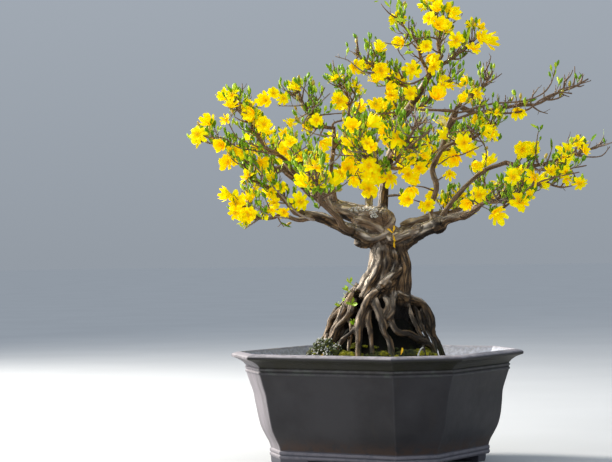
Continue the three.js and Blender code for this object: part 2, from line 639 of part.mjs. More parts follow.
// Onto the ground, with the middle of the whole outline over the origin
const outline = new THREE.Box3().setFromObject(tree);
const middle = outline.getCenter(new THREE.Vector3());
tree.position.set(-middle.x, -middle.y, POT_HEIGHT);
tree.updateMatrixWorld(true);

export default tree;
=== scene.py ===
import math
from collections import namedtuple
from functools import cache

import bmesh
import bpy
import numpy as np
from mathutils import Matrix, Vector, kdtree, noise


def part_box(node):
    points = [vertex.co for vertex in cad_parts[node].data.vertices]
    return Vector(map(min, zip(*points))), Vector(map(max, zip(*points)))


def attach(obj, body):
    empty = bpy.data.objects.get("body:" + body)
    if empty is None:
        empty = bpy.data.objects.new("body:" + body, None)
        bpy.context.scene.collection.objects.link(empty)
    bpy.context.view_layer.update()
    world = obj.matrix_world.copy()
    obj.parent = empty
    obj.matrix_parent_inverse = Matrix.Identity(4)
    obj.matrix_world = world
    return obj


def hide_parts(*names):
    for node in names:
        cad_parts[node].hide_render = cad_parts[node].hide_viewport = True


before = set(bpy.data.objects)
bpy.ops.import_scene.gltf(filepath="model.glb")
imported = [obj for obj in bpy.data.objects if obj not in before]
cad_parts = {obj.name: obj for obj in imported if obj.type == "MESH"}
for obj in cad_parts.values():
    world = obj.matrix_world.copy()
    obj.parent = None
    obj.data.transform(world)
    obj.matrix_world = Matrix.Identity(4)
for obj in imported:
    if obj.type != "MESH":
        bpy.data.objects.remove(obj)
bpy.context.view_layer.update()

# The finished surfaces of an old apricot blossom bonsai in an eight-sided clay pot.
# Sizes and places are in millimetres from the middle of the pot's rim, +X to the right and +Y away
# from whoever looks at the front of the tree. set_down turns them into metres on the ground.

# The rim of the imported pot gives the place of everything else
MM = 0.001
RIM_CROWN = 3.5                 # the rim's inner edge stands this far over its outer edge
pot_low, pot_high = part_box("pot")
POT_MIDDLE = (pot_low + pot_high) / 2
TREE_ORIGIN = np.array([POT_MIDDLE.x, POT_MIDDLE.y, pot_high.z - RIM_CROWN * MM])

# The pot: a rectangle with cut corners
POT_TURN = math.radians(-30.6)
POT_FRONT = 295
POT_SIDE = 257
POT_CUT = 131
POT_FACES = 8
POT_FOOT = 14
FOOT_WRAP = np.array([32, 58])  # how far a foot runs on along the short and the long faces
BASE_INSET = 67
FOOT_DRAFT = 2
UNDERSIDE = -191
POT_FLOOR = -172
ARRIS = 2.2                     # radius of the pot's worn upright edges

# The soil and the mossy mound under the roots
SOIL_LEVEL = -19
MOUND = [[0, 62], [48, 60], [72, 32], [92, 4], [112, -12], [124, SOIL_LEVEL - 1]]
MOUND_CENTRE = [2, -4]

# The trunk and its surface roots
TRUNK_FOOT = [2, 0, SOIL_LEVEL - 4]
TRUNK_TIP = [14, 2, 262]
TRUNK_BOW = [11, 0, 0]
TRUNK_BASE_RADIUS = 62
TRUNK_WAIST_RADIUS = 35
TRUNK_TIP_RADIUS = 25
TRUNK_WAIST = 0.69
FLUTE_WIDE = 0.07
FLUTE_NARROW = 0.045
KNOTS = [
    ([-8, 0, 246], [36, 31, 27]),
    ([30, -6, 208], [30, 30, 26]),
    ([6, -20, 222], [22, 20, 22]),
    ([-22, -14, 205], [22, 18, 15]),
    ([44, -30, 112], [20, 14, 18]),
    ([-4, -14, 134], [30, 28, 42]),
]
# A root: bearing and height where it leaves the trunk, bearing and distance of its foot, how late
# it turns outwards, and its radius at the trunk and at the foot
ROOTS = [
    [-60, 152, -116, 112, 1.1, 12, 8],
    [-98, 122, -86, 106, 1.3, 14, 7],
    [-84, 66, -38, 132, 0.7, 10, 6],
    [-46, 110, 0, 126, 0.42, 12, 7],
    [-30, 92, -44, 104, 0.8, 9, 6],
    [-14, 84, -22, 118, 0.6, 9, 6],
    [198, 132, 203, 116, 0.7, 11, 6],
    [214, 104, 220, 118, 0.9, 11, 7],
    [234, 74, 229, 114, 1.0, 9, 6],
    [176, 96, 178, 130, 0.8, 12, 8],
    [146, 124, 144, 118, 0.8, 13, 7],
    [112, 104, 118, 112, 1.0, 11, 7],
    [76, 130, 84, 118, 0.8, 13, 7],
    [36, 112, 44, 120, 0.6, 12, 7],
]
ROOT_SWAY = 7
ROOT_DROOP = 1.15
ROOT_POINTS = 5
FINE_ROOTS = 22                 # thinner roots woven in behind
RULE_ROOTS = [6, 9, 10, 11, 12, 13]
# The roots of the front as they show: radius at the top and at the foot, how far out they lie on
# the flare, and the places they run through, sideways and up
FRONT_ROOTS = [
    [9.5, 6.5, 1.0, [43, 152], [21, 134], [8, 118], [-4, 111], [-19, 94], [-32, 67], [-35, 49],
     [-37, 17], [-38, -26]],
    [8, 6, 0.97, [-8, 112], [-2, 85], [7, 56], [11, 37], [20, 21], [26, -26]],
    [8, 6, 1.0, [20, 78], [26, 51], [39, 37], [56, 36], [73, 25], [91, 17], [103, 3], [112, -26]],
    [9, 6, 1.0, [30, 116], [45, 104], [63, 96], [84, 90], [95, 75], [101, 60], [105, 30],
     [115, 11], [128, -26]],
    [7, 6, 1.02, [37, 118], [28, 92], [26, 76], [19, 62]],
    [6, 5, 1.0, [14, 104], [19, 89], [13, 74], [5, 60]],
    [7.5, 5, 1.0, [-36, 128], [-47, 105], [-59, 85], [-84, 63], [-88, 47], [-94, 34],
     [-101, 18], [-112, -26]],
    [6, 4.5, 1.03, [-44, 108], [-53, 74], [-61, 62], [-74, 49], [-81, 34], [-92, 14], [-98, -26]],
    [5.5, 4.5, 0.97, [-38, 100], [-48, 76], [-57, 65], [-70, 49], [-78, 31], [-86, 6], [-90, -26]],
    [5, 4, 1.06, [-36, 54], [-47, 42], [-60, 31], [-69, 22], [-76, 6], [-82, -26]],
    [5, 4.5, 1.0, [-38, 124], [-57, 103], [-63, 90], [-78, 76], [-90, 40], [-104, -26]],
    [4.6, 4, 1.0, [84, 84], [85, 70], [91, 50], [99, 32], [106, 14], [110, -26]],
    [4.2, 3.6, 0.95, [70, 88], [76, 72], [80, 57], [87, 37], [95, 18], [98, -26]],
    [4, 3.4, 1.0, [60, 92], [61, 74], [66, 57], [75, 40], [82, 20], [84, -26]],
    [5, 4, 0.93, [-64, 86], [-50, 58], [-49, 40], [-54, 10], [-56, -26]],
    [6, 5, 0.92, [-14, 92], [-18, 62], [-14, 30], [-10, -26]],
]
SUNK_TOP = 0.8                  # a root's top lies this much deeper
FLARE = [[-26, 122], [0, 112], [50, 87], [95, 60], [125, 44], [150, 36], [200, 34]]
# Ropes of wood at the crotch: radius at both ends and the places they run through
SADDLES = [
    [9, 6, [-48, -22, 232], [-39, -33, 226], [-25, -37, 216], [-10, -38, 210], [6, -37, 213],
     [18, -32, 221], [27, -24, 234], [31, -12, 248]],
    [8, 6, [22, -34, 205], [40, -32, 212], [66, -30, 222], [96, -30, 231]],
    [7, 6, [46, 18, 236], [75, 26, 244], [108, 34, 250], [120, 20, 244]],
    [11, 10, [-3, -15, 206], [4, -18, 184], [-3, -22, 160], [-18, -23, 138], [-31, -30, 112]],
    [11, 9, [8, -25, 202], [9, -29, 174], [1, -33, 148], [-14, -38, 124], [-27, -45, 100]],
    [10, 8, [18, -28, 196], [19, -31, 168], [13, -35, 142], [4, -40, 118], [0, -44, 100]],
    [7, 6, [-46, -20, 246], [-16, -28, 238], [9, -32, 225], [26, -32, 206]],
    [6.5, 8.5, [46, -16, 160], [41, -26, 153], [29, -38, 143], [19, -47, 133], [10, -54, 121]],
    [9, 9, [42, -8, 184], [45, -10, 156], [50, -8, 126], [56, -12, 100]],
    [7, 6, [30, -26, 190], [34, -32, 164], [28, -38, 140]],
    [8, 6, [50, 14, 106], [70, 14, 96], [79, 12, 80], [84, 12, 58], [77, 14, 36], [72, 16, 4],
     [70, 18, -24]],
]
RIDGES = 13                     # ropes of wood that run down the trunk's sides
RIDGE_HEIGHTS = [226, 84]

# A bough: its name, the limb it grows from and how far along, its tip, its bow at the middle, its
# radius at the foot and at the tip, and the radius of a knot at the tip
BOUGHS = [
    ["trunk_leader", "trunk", 0.96, [120, 4, 540], [-31, 8, 0], 19, 5],
    ["bough_left_high", "trunk", 0.93, [-163, 20, 338], [4, -4, -17], 21, 8],
    ["bough_left_low", "trunk", 0.79, [-137, -44, 258], [0, -8, 1], 17, 7.5],
    ["bough_right", "trunk", 0.76, [114, -30, 235], [0, 2, -4], 17, 14, 18],
    ["bough_right_back", "trunk", 0.84, [102, 78, 250], [0, 8, -4], 14, 8],
    ["bough_back", "trunk", 0.9, [-8, 112, 292], [0, 4, -10], 14, 7],
    ["bough_left_top", "bough_left_high", 0.82, [-196, -8, 378], [4, 0, 8], 6, 4],
    ["bough_left_upright", "bough_left_high", 0.46, [-76, -28, 404], [-7, -8, 0], 6, 4],
    ["bough_up_mid", "bough_left_upright", 0.84, [-48, -22, 440], [6, 0, -3], 4, 3.4],
    ["bough_back_left", "bough_left_high", 0.36, [-108, 98, 322], [0, 8, -4], 9, 6],
    ["bough_left_cross", "bough_left_low", 0.5, [-102, -46, 309], [-4, -6, 4], 5.5, 4],
    ["bough_left_skirt", "bough_left_low", 0.84, [-166, -66, 254], [0, -4, -6], 5.5, 4],
    ["bough_front_left", "bough_left_low", 0.4, [-92, -112, 268], [0, -6, -6], 8, 5.5],
    ["bough_right_up", "bough_right", 0.97, [149, -20, 444], [-19, -4, 0], 9, 5],
    ["bough_right_mid", "bough_right", 0.97, [235, 20, 347], [-6, 6, 10], 7, 4.5],
    ["bough_right_low", "bough_right", 0.97, [190, -60, 272], [0, -2, -3], 10, 6.5],
    ["bough_right_inner", "bough_right_up", 0.55, [148, -54, 386], [2, -4, 6], 5, 4],
    ["bough_right_upper", "bough_right_up", 0.84, [166, 14, 470], [0, 6, 2], 4.6, 3.8],
    ["bough_right_under", "bough_right_low", 0.55, [186, -104, 268], [0, -8, -4], 5.5, 4],
]
BEND_SPACING = 46
KINK = 6
ROOT_SWELL = 0.4
SWELL_LENGTH = 0.07

# A mass of blossom: its name, the limb its stem meets and how far along, the stem's tip, its bow,
# how far its twigs reach, and how freely it flowers
MASSES = [
    ["blossom_left_tip", "bough_left_high", 1, [-312, 2, 404], [0, 2, -8], 50, 0.4],
    ["blossom_left_top", "bough_left_top", 1, [-262, -14, 468], [-8, 4, 6], 50, 0.5],
    ["blossom_left_low", "bough_left_low", 1, [-244, -34, 352], [4, -2, -8], 46, 0.4],
    ["blossom_left_skirt", "bough_left_skirt", 1, [-240, -84, 272], [-4, 0, -10], 46, 0.5],
    ["blossom_left_mid", "bough_left_cross", 1, [-142, -84, 372], [-4, -4, 0], 50, 0.45],
    ["blossom_front_left", "bough_front_left", 1, [-128, -236, 330], [4, 0, -8], 54, 0.4],
    ["blossom_left_crest", "bough_left_upright", 1, [-140, -46, 482], [-14, -4, -4], 50, 0.4],
    ["blossom_up_mid", "bough_up_mid", 1, [-56, -14, 506], [8, 0, 4], 48, 0.6],
    ["blossom_mid_left", "trunk_leader", 0.5, [-36, 26, 424], [4, 8, 8], 50, 0.5],
    ["blossom_top_left", "trunk_leader", 0.8, [-36, -24, 556], [0, 4, -8], 50, 0.35],
    ["blossom_top_mid", "trunk_leader", 0.91, [44, -22, 622], [2, -6, 6], 46, 0.25],
    ["blossom_apex", "trunk_leader", 1, [108, 8, 646], [12, 0, 0], 46, 0.9],
    ["blossom_top_right", "trunk_leader", 0.95, [192, -8, 582], [4, -2, -4], 44, 0.5],
    ["blossom_mid_right", "trunk_leader", 0.68, [142, -34, 508], [2, -6, -8], 44, 0.35],
    ["blossom_mid_back", "trunk_leader", 0.6, [72, 190, 488], [-4, 0, -12], 62, 0.7],
    ["blossom_mid_front", "trunk_leader", 0.2, [-34, -172, 390], [4, 4, -10], 58, 0.55],
    ["blossom_front_right", "trunk_leader", 0.36, [66, -224, 416], [4, 0, -12], 58, 0.4],
    ["blossom_back_right", "trunk_leader", 0.3, [182, 232, 420], [0, 6, -14], 66, 0.7],
    ["blossom_back", "bough_back", 1, [-34, 286, 386], [0, 4, -12], 64, 0.8],
    ["blossom_back_left", "bough_back_left", 1, [-216, 208, 398], [4, 6, -10], 64, 1.0],
    ["blossom_right_back", "bough_right_back", 1, [226, 172, 314], [0, 4, -12], 60, 0.7],
    ["blossom_right_inner", "bough_right_inner", 1, [222, -72, 418], [0, -4, -6], 48, 0.75],
    ["blossom_right_upper", "bough_right_upper", 1, [224, 56, 516], [0, 2, -6], 48, 0.35],
    ["blossom_right_top", "bough_right_up", 1, [396, -34, 502], [10, 0, -16], 40, 0.3],
    ["blossom_right_mid", "bough_right_mid", 1, [436, 34, 390], [4, 0, -16], 46, 0.6],
    ["blossom_right_low", "bough_right_low", 1, [352, -80, 336], [0, -4, -8], 46, 0.45],
    ["blossom_right_under", "bough_right_under", 1, [254, -206, 306], [4, -2, -10], 52, 0.4],
]
BLOSSOM_NODES = [row[0] for row in MASSES]
WOOD_NODES = ["trunk"] + [row[0] for row in BOUGHS]

# The rule by which twigs, blossom and buds grow from a stem
GAP = 0.3
SAMPLE_GAP = 1.5
TWIG_SPACING = 40
TWIG_TRIES = 4
TWIG_THICK = 2.3
TWIG_THIN = 1.4
TWIG_RISE = 0.35
TWIG_LEAN = [0.7, 0.5]          # least lean off the stem, and how much chance adds
TWIG_LENGTH = [0.55, 0.4]       # least share of the longest twig, and how much chance adds
TWIG_LOSS = 0.25                # twigs at a stem's tip are that much shorter
STEM_BARE = 0.14                # the share of a stem below its first twig
STEM_DRESSED = 0.84             # the share of it along which twigs stand
SIDE_PLACE = 0.55               # where on a twig a flower or bud stands at its side
FLOWER_SHARE = 0.85
SIDE_FLOWER_SHARE = 0.2
BUD_SHARE = 0.25
PETALS = 5
PETAL_TIP = 23
PETAL_NOTCH = 14
PETAL_LIFT = 5
FLOWER_TOP = 1.5
CALYX_DEPTH = 9
SIDE_STALK = 6
FLOWER_SPACING = 36
BUD_LENGTH = 17
BUD_RADIUS = 3.4
GOLDEN_TURN = math.pi * (3 - math.sqrt(5))
STEM_LEAD = 12
SIDE_STEM_THICK = 4
STEM_SAMPLES = 14
LIMB_SAMPLES = 24

# The rule carried on to finer twigs: spurs on stems and twigs, sprigs on spurs
SPUR_SPACING = 8.5
SPUR_LENGTH = [16, 42]
SPUR_THICK = 1.6
SPUR_THIN = 0.85
SPUR_TRIES = 3
SPRIG_SPACING = 15
SPRIG_LENGTH = [7, 16]
SPRIG_THICK = 0.8
SPRIG_THIN = 0.5
FINE_KINK = 0.07                # of a finer twig's length
FINE_FLOWER_SHARE = 0.22
FINE_FLOWER_SPACING = 21
FINE_FLOWER_SIZES = [0.78, 1.0]
FLOWER_TRIES = 3
FLOWER_STALK = 5
SPUR_BUDS = [3.6, 1.9]          # most buds at a spur's end and on its side
SPUR_BUD_SHARE = 0.6
SPRIG_BUDS = 1.7
SPRIG_BUD_SHARE = 0.75
SPRIG_FLOWER_SHARE = 0.14
CROWN_MIDDLE = [60, 20, 380]    # finer twigs' flowers face away from here
LEAF_SHARE = 0.18
# Past this share of its stem a mass has hardly any flowers, buds or spurs
BARE_TIPS = {"blossom_right_top": 0.42, "blossom_right_mid": 0.78}
BARE_SPURS = 0.55               # share of the spurs that fail there
BARE_BUDS = 0.92                # and of the buds, from nearer the stem's foot on
BARE_BUD_EASE = 0.4

# The flowers that stand out in front: sideways, up, size, and how far each turns aside and up
SHOWN_FLOWERS = [
    [-331, 409, 1, 0, 0], [-265, 487, 0.9, -0.3, 0.6], [-230, 446, 0.9, -0.5, -0.3],
    [-204, 426, 1, 0, 0.2], [-280, 436, 0.75, -0.8, 0.2], [-286, 387, 0.85, -0.4, 0.1],
    [-260, 373, 0.9, 0, -0.4], [-276, 356, 1, -0.4, 0.2], [-211, 351, 0.95, 0.2, -0.3],
    [-165, 376, 1.05, 0.2, 0.1], [-153, 428, 0.85, 0.8, 0.2], [-172, 409, 0.75, -0.6, 0.3],
    [-144, 497, 0.8, 0.2, 0.8], [-108, 431, 0.85, 0, 0.2], [-64, 467, 1.05, 0, 0.1],
    [-33, 529, 0.95, 0.3, 0], [13, 522, 1.05, 0, 0], [4, 463, 1.05, 0.3, 0.2],
    [27, 486, 0.85, 0.4, 0.2], [-51, 342, 1.1, 0, 0], [-9, 333, 1, 0.2, 0.1],
    [-13, 302, 1.05, -0.1, -0.2], [19, 335, 0.95, 0.4, 0], [17, 404, 1, 0, 0.1],
    [31, 389, 0.95, 0.3, -0.1], [-9, 381, 0.85, -0.2, 0], [-48, 416, 0.75, -0.6, 0.2],
    [-20, 410, 0.8, -0.2, 0.3], [-97, 388, 0.85, 0.4, -0.3], [-138, 280, 1.05, 0, 0],
    [-109, 314, 0.75, 0.3, 0.5], [-238, 259, 1, 0.1, 0], [-275, 296, 0.9, -0.8, 0],
    [-262, 259, 0.9, -0.5, -0.4], [-217, 304, 0.85, 0.7, -0.1], [-189, 295, 0.9, 0.6, -0.3],
    [-172, 312, 0.8, 0, 0.7], [-172, 258, 0.75, -0.2, -0.8], [-97, 360, 0.7, 0.2, 0.3],
    [53, 352, 0.8, 0.3, 0.1], [55, 281, 0.85, 0, -0.3], [118, 635, 0.85, 0, 0.7],
    [100, 620, 0.9, -0.5, 0.2], [121, 605, 1, 0, 0], [145, 623, 0.9, 0.8, 0.1],
    [153, 575, 1, 0.2, -0.3], [201, 582, 0.95, 0.5, 0], [49, 573, 0.85, -0.4, 0],
    [98, 566, 0.8, 0.3, -0.2], [108, 536, 0.95, 0.4, 0.1], [72, 525, 1.05, 0, 0],
    [30, 478, 0.85, -0.2, 0.2], [65, 477, 0.9, 0, -0.4], [115, 474, 1.1, 0.2, 0.7],
    [131, 497, 0.75, 0.4, 0.7], [194, 482, 0.9, 0.5, 0.4], [167, 467, 0.75, -0.3, 0.2],
    [265, 442, 0.9, 0.2, -0.5], [190, 425, 0.95, 0.2, 0.2], [223, 398, 0.95, 0.8, -0.2],
    [163, 386, 1, -0.2, 0], [180, 371, 0.95, 0.4, 0], [147, 357, 0.95, -0.3, -0.2],
    [186, 347, 0.85, 0.3, -0.5], [273, 372, 1.1, -0.1, 0], [300, 373, 0.85, 0.7, 0.2],
    [359, 369, 1.15, 0.1, 0.2], [389, 369, 0.7, 0.5, 0.5], [257, 320, 0.95, 0, 0.1],
    [278, 307, 0.9, 0.3, -0.3], [287, 283, 0.8, 0.5, -0.6], [260, 284, 0.85, -0.2, -0.5],
    [191, 288, 1.05, 0, 0], [226, 251, 1.15, 0.2, -0.3], [379, 303, 0.9, 0.3, -0.9],
    [57, 283, 0.85, -0.3, 0], [97, 268, 0.9, 0.2, -0.6], [64, 358, 0.85, 0, 0.1],
    [82, 339, 0.9, 0.2, 0], [91, 366, 0.75, 0.2, 0.3], [61, 328, 0.9, -0.1, -0.2],
    [353, 324, 0.8, 0.2, -0.7], [323, 328, 0.7, -0.2, -0.6], [16, 411, 1.0, 0.1, 0.1],
    [27, 389, 1.0, 0.3, -0.2], [8, 454, 0.9, -0.3, 0.3], [-18, 386, 0.8, -0.5, 0],
    [-13, 347, 1.05, 0, 0.1], [13, 332, 0.95, 0.4, -0.1], [-13, 306, 1.05, -0.1, -0.3],
    [-39, 321, 0.8, -0.3, -0.5], [92, 564, 0.75, -0.6, 0.3], [106, 543, 0.8, 0.5, -0.2],
    [110, 525, 0.75, 0.3, -0.5], [127, 498, 0.8, 0.4, 0.5], [48, 346, 0.85, -0.3, 0.4],
    [68, 322, 0.9, 0.2, -0.1], [91, 355, 0.8, 0.5, 0.3], [66, 300, 0.85, 0, -0.6],
    [59, 283, 0.9, -0.3, -0.2], [94, 270, 0.8, 0.6, -0.1], [137, 332, 0.7, 0, 0.5],
    [169, 274, 0.8, -0.4, -0.3], [266, 331, 0.8, 0, -0.3], [-203, 469, 1.0, 0, 0.1],
    [-185, 484, 0.8, 0.3, 0.5], [-166, 472, 0.75, 0.5, 0], [-237, 255, 0.9, 0, -0.3],
    [-66, 333, 1.0, -0.2, 0], [-48, 342, 0.9, 0.3, 0.2], [-265, 363, 0.9, 0.2, 0.4],
    [-245, 377, 0.8, -0.1, 0.5], [-210, 349, 0.9, 0, -0.3], [-185, 279, 0.8, 0.3, 0.2],
]
# Places with hardly any blossom: sideways, up and how far round them
OPEN_PLACES = [
    [72, 426, 30], [112, 428, 28], [150, 398, 16], [24, 292, 14], [206, 524, 30], [292, 330, 18],
    [-244, 434, 12], [70, 598, 20], [186, 575, 15], [-40, 556, 14],
]
OPEN_BUDS = 0.2                 # share of the buds that grow there
# Tried for each shown flower: depths in front of the wood, and shares of the way towards it
SHOWN_DEPTHS = [-22, -14, -30, -5, -38, 6]
SHOWN_NUDGES = [0, 0.1, 0.2, 0.3, 0.4, 0.5]
SHOWN_SPACING = 16
SHOWN_REACH = 64
SHOWN_SIZE = 0.88
SHOWN_CLEAR = 3                 # room between a shown flower and the limbs
SHOWN_LIFT = 11                 # a flower's face stands this far out from its stalk
# The twigs that stand out in front: thickness and the places each runs through, sideways and up
SHOWN_TWIGS = [
    [2.0, [-182, 368], [-210, 375], [-255, 383], [-278, 399], [-312, 403]],
    [1.8, [-182, 374], [-221, 385], [-255, 403], [-277, 445]],
    [2.4, [-113, 246], [-144, 260], [-172, 289], [-197, 317], [-211, 334], [-244, 372]],
    [1.8, [-166, 252], [-200, 258], [-214, 267], [-242, 284]],
    [2.4, [-75, 426], [-40, 437], [-28, 457], [-27, 476]],
    [2.2, [-133, 424], [-119, 449], [-110, 458], [-82, 480]],
    [1.8, [-110, 458], [-124, 483], [-138, 500]],
    [1.8, [-147, 458], [-184, 459]],
    [2.2, [-77, 403], [-108, 407], [-133, 418]],
    [2.0, [-87, 302], [-95, 316], [-103, 356], [-111, 398]],
    [2.0, [-72, 358], [-52, 392], [-17, 417]],
    [1.8, [-69, 367], [-27, 365]],
    [1.8, [-87, 293], [-53, 316]],
    [1.6, [-151, 368], [-125, 384]],
    [1.6, [-238, 446], [-252, 451], [-271, 457]],
    [1.8, [-102, 441], [-68, 442], [-40, 445]],
    [1.8, [-171, 354], [-154, 334], [-135, 319]],
    [2.0, [-2, 519], [-11, 517], [-30, 525], [-47, 542], [-72, 551]],
    [3.4, [150, 445], [103, 448], [70, 450], [46, 445], [-4, 439]],
    [2.2, [150, 445], [168, 459], [177, 477]],
    [2.4, [30, 336], [42, 363], [72, 389], [99, 404], [102, 422], [99, 433]],
    [1.8, [116, 347], [137, 359], [161, 364], [200, 382]],
    [1.6, [132, 402], [155, 408], [185, 409]],
    [1.8, [170, 418], [191, 394], [203, 376], [205, 358], [201, 334]],
    [2.8, [150, 430], [192, 444], [239, 441], [281, 445], [305, 464], [337, 477], [367, 476]],
    [2.4, [162, 442], [216, 459], [272, 461], [308, 473], [326, 493], [334, 517]],
    [1.8, [343, 481], [367, 490], [400, 498]],
    [2.6, [256, 343], [270, 338], [312, 334], [359, 337], [410, 345]],
    [2.4, [237, 266], [267, 289], [297, 309], [341, 321], [377, 329]],
    [2.0, [204, 284], [237, 310]],
    [2.2, [228, 278], [255, 292], [291, 330]],
    [2.0, [377, 359], [416, 358], [436, 376]],
    [1.6, [297, 357], [301, 395], [302, 404]],
    [2.2, [122, 570], [119, 577], [101, 584], [80, 579], [60, 568], [33, 571], [18, 574]],
    [1.8, [45, 565], [56, 541]],
    [1.8, [122, 543], [131, 561]],
    [2.8, [97, 514], [85, 502], [62, 496], [35, 509]],
    [1.8, [0, 518], [-27, 524]],
]
SHOWN_TWIG_DEPTH = -30          # how far in front of the stems they run
SHOWN_TWIG_REACH = 56
SHOWN_TWIG_STEPS = 40           # even steps at which a twig's reach is tried
LEAST_HELD = 6                  # a twig with fewer steps in reach is left out
TUFT_SPACING = 11               # between the tufts of buds along them
TUFT_SHARE = 0.5
# Leaves that show singly: the foot, and the way and size each points
SHOWN_LEAVES = [
    [64, 613, -27, 2], [72, 578, -11, 27], [80, 582, -11, 21], [172, 570, 3, 32], [49, 643, 4, -16],
    [31, 638, -12, 12], [10, 650, -11, -1], [43, 630, 2, 20], [302, 411, -15, 8], [332, 506, 3, 16],
]
SHOWN_LEAF_DEPTH = -36
LEAF_LENGTH = 20
DRIED_TWIG = 20                 # the row of the shown twig whose end the dried leaves hang from
DRIED_AHEAD = 4                 # they hang this far in front of it
DRIED_LEAVES = [
    [90, 436, -16, -18], [93, 436, -1, -18], [105, 441, -10, -4], [118, 440, 5, -13],
    [121, 438, 10, -20], [111, 433, 10, -10],
]
EYE = [-130, -3701, 183]        # the shown rows were measured from here,
SHOWN_PLANE = -30               # on an upright plane at this depth
FRONT_DEPTH = 110               # stems further back than this don't carry them

# Seeds of the chance in the shapes
ROOT_SEED = 11
BOUGH_SEED = 40
MASS_SEED = 302
SPUR_SEED = 900
DETAIL_SEED = 77

UP = np.array([0.0, 0.0, 1.0])
WORD = 0xFFFFFFFF               # chance counts in words of 32 bits


class Chance:
    """Evenly spread numbers from 0 to 1, the same on every run."""

    def __init__(self, seed):
        self.state = seed & WORD

    def __call__(self):
        self.state = (self.state + 0x6D2B79F5) & WORD
        mix = ((self.state ^ (self.state >> 15)) * (self.state | 1)) & WORD
        mix = ((mix + (((mix ^ (mix >> 7)) * (mix | 61)) & WORD)) & WORD) ^ mix
        return ((mix ^ (mix >> 14)) & WORD) / (WORD + 1)

    def between(self, low, high):
        return low + (high - low) * self()

    def direction(self):
        return np.array([self() - 0.5, self() - 0.5, self() - 0.5]) * 2


def unit(vector):
    return vector / np.linalg.norm(vector)


def smoothstep(low, high, value):
    share = np.clip((value - low) / (high - low), 0, 1)
    return share * share * (3 - 2 * share)


class Route:
    """A smooth curve through points, measured along its length from 0 to 1."""

    DIVISIONS = 200
    NEAR = 0.0001

    def __init__(self, points):
        points = np.array(points, float)
        before, after = 2 * points[0] - points[1], 2 * points[-1] - points[-2]
        self.knots = np.vstack([before, points, after])
        self.shares = np.linspace(0, 1, self.DIVISIONS + 1)
        steps = np.diff(self.through(self.shares), axis=0)
        self.run = np.concatenate([[0], np.cumsum(np.linalg.norm(steps, axis=1))])
        self.length = self.run[-1]

    def through(self, share):
        spans = len(self.knots) - 3
        place = np.clip(share, 0, 1) * spans
        first = np.minimum(place.astype(int), spans - 1)
        part = (place - first)[:, None]
        a, b, c, d = (self.knots[first + step] for step in range(4))
        leave, arrive = (c - a) / 2, (d - b) / 2
        bend = 3 * (c - b) - 2 * leave - arrive
        return b + part * (leave + part * (bend + part * (2 * (b - c) + leave + arrive)))

    def _share(self, along):
        return np.interp(np.atleast_1d(along) * self.length, self.run, self.shares)

    def points(self, along):
        return self.through(self._share(along))

    def at(self, along):
        return self.points(along)[0]

    def headings(self, along):
        share = self._share(along)
        ahead = self.through(np.clip(share + self.NEAR, 0, 1))
        step = ahead - self.through(np.clip(share - self.NEAR, 0, 1))
        return step / np.linalg.norm(step, axis=1)[:, None]

    def heading(self, along):
        return self.headings(along)[0]

    def frames(self, steps):
        """The middle, heading and two sideways directions at steps + 1 even places."""
        along = np.linspace(0, 1, steps + 1)
        ahead = self.headings(along)
        least = min(range(3), key=lambda axis: (abs(ahead[0][axis]), -axis))
        side = unit(np.cross(ahead[0], np.eye(3)[least]))
        sides = [np.cross(ahead[0], side)]
        for before, after in zip(ahead, ahead[1:]):
            turn = Vector(before).rotation_difference(Vector(after))
            sides.append(np.array(turn @ Vector(sides[-1])))
        sides = np.array(sides)
        return self.points(along), ahead, sides, np.cross(ahead, sides)


def bent_route(start, tip, bow, chance, lead=None):
    """A limb's middle line: it wanders from the straight line by kinks, and bows."""
    start, tip, bow = (np.array(place, float) for place in (start, tip, bow))
    span = tip - start
    bends = max(1, math.floor(np.linalg.norm(span) / BEND_SPACING + 0.5))
    points = [start] if lead is None else [start, lead]
    for i in range(1, bends + 1):
        along = i / (bends + 1)
        bowed = start + span * along + bow * (4 * along * (1 - along))
        points.append(bowed + chance.direction() * KINK)
    return Route(points + [tip])


def limb_radius(thick, thin):
    def radius_at(along):
        return (thick + (thin - thick) * along) * (1 + ROOT_SWELL * np.exp(-along / SWELL_LENGTH))
    return radius_at


def trunk_radius(along, turn=None):
    below = np.maximum(0, 1 - along / TRUNK_WAIST)
    above = np.maximum(0, (along - TRUNK_WAIST) / (1 - TRUNK_WAIST))
    flare = (TRUNK_BASE_RADIUS - TRUNK_WAIST_RADIUS) * below ** 0.8
    radius = TRUNK_WAIST_RADIUS + flare - (TRUNK_WAIST_RADIUS - TRUNK_TIP_RADIUS) * above
    if turn is None:
        return radius
    wide = FLUTE_WIDE * np.cos(3 * turn + 4 * along)
    narrow = FLUTE_NARROW * np.cos(5 * turn - 7 * along)
    return radius * (1 + wide + narrow)


trunk_route = bent_route(TRUNK_FOOT, TRUNK_TIP, TRUNK_BOW, Chance(ROOT_SEED))


def up_trunk(height):
    """The share of the trunk's length that lies below a height."""
    return (height - TRUNK_FOOT[2]) / (TRUNK_TIP[2] - TRUNK_FOOT[2])


def root_route(row, chance, sway=ROOT_SWAY, points=ROOT_POINTS):
    top, height, foot, reach, shoulder, thick, thin = row
    leave = up_trunk(height)
    axis = trunk_route.at(leave)
    inside = trunk_radius(leave) - thick
    places = []
    for i in range(points):
        along = i / (points - 1)
        swing = sway * (chance() - 0.5) * 2 * math.sin(math.pi * along)
        bearing = math.radians(top + (foot - top) * along + swing)
        out = inside + (reach - inside) * along ** shoulder
        places.append([
            axis[0] * (1 - along) + out * math.cos(bearing),
            axis[1] * (1 - along) + out * math.sin(bearing),
            height + (SOIL_LEVEL - thin - height) * along ** ROOT_DROOP,
        ])
    return Route(places)


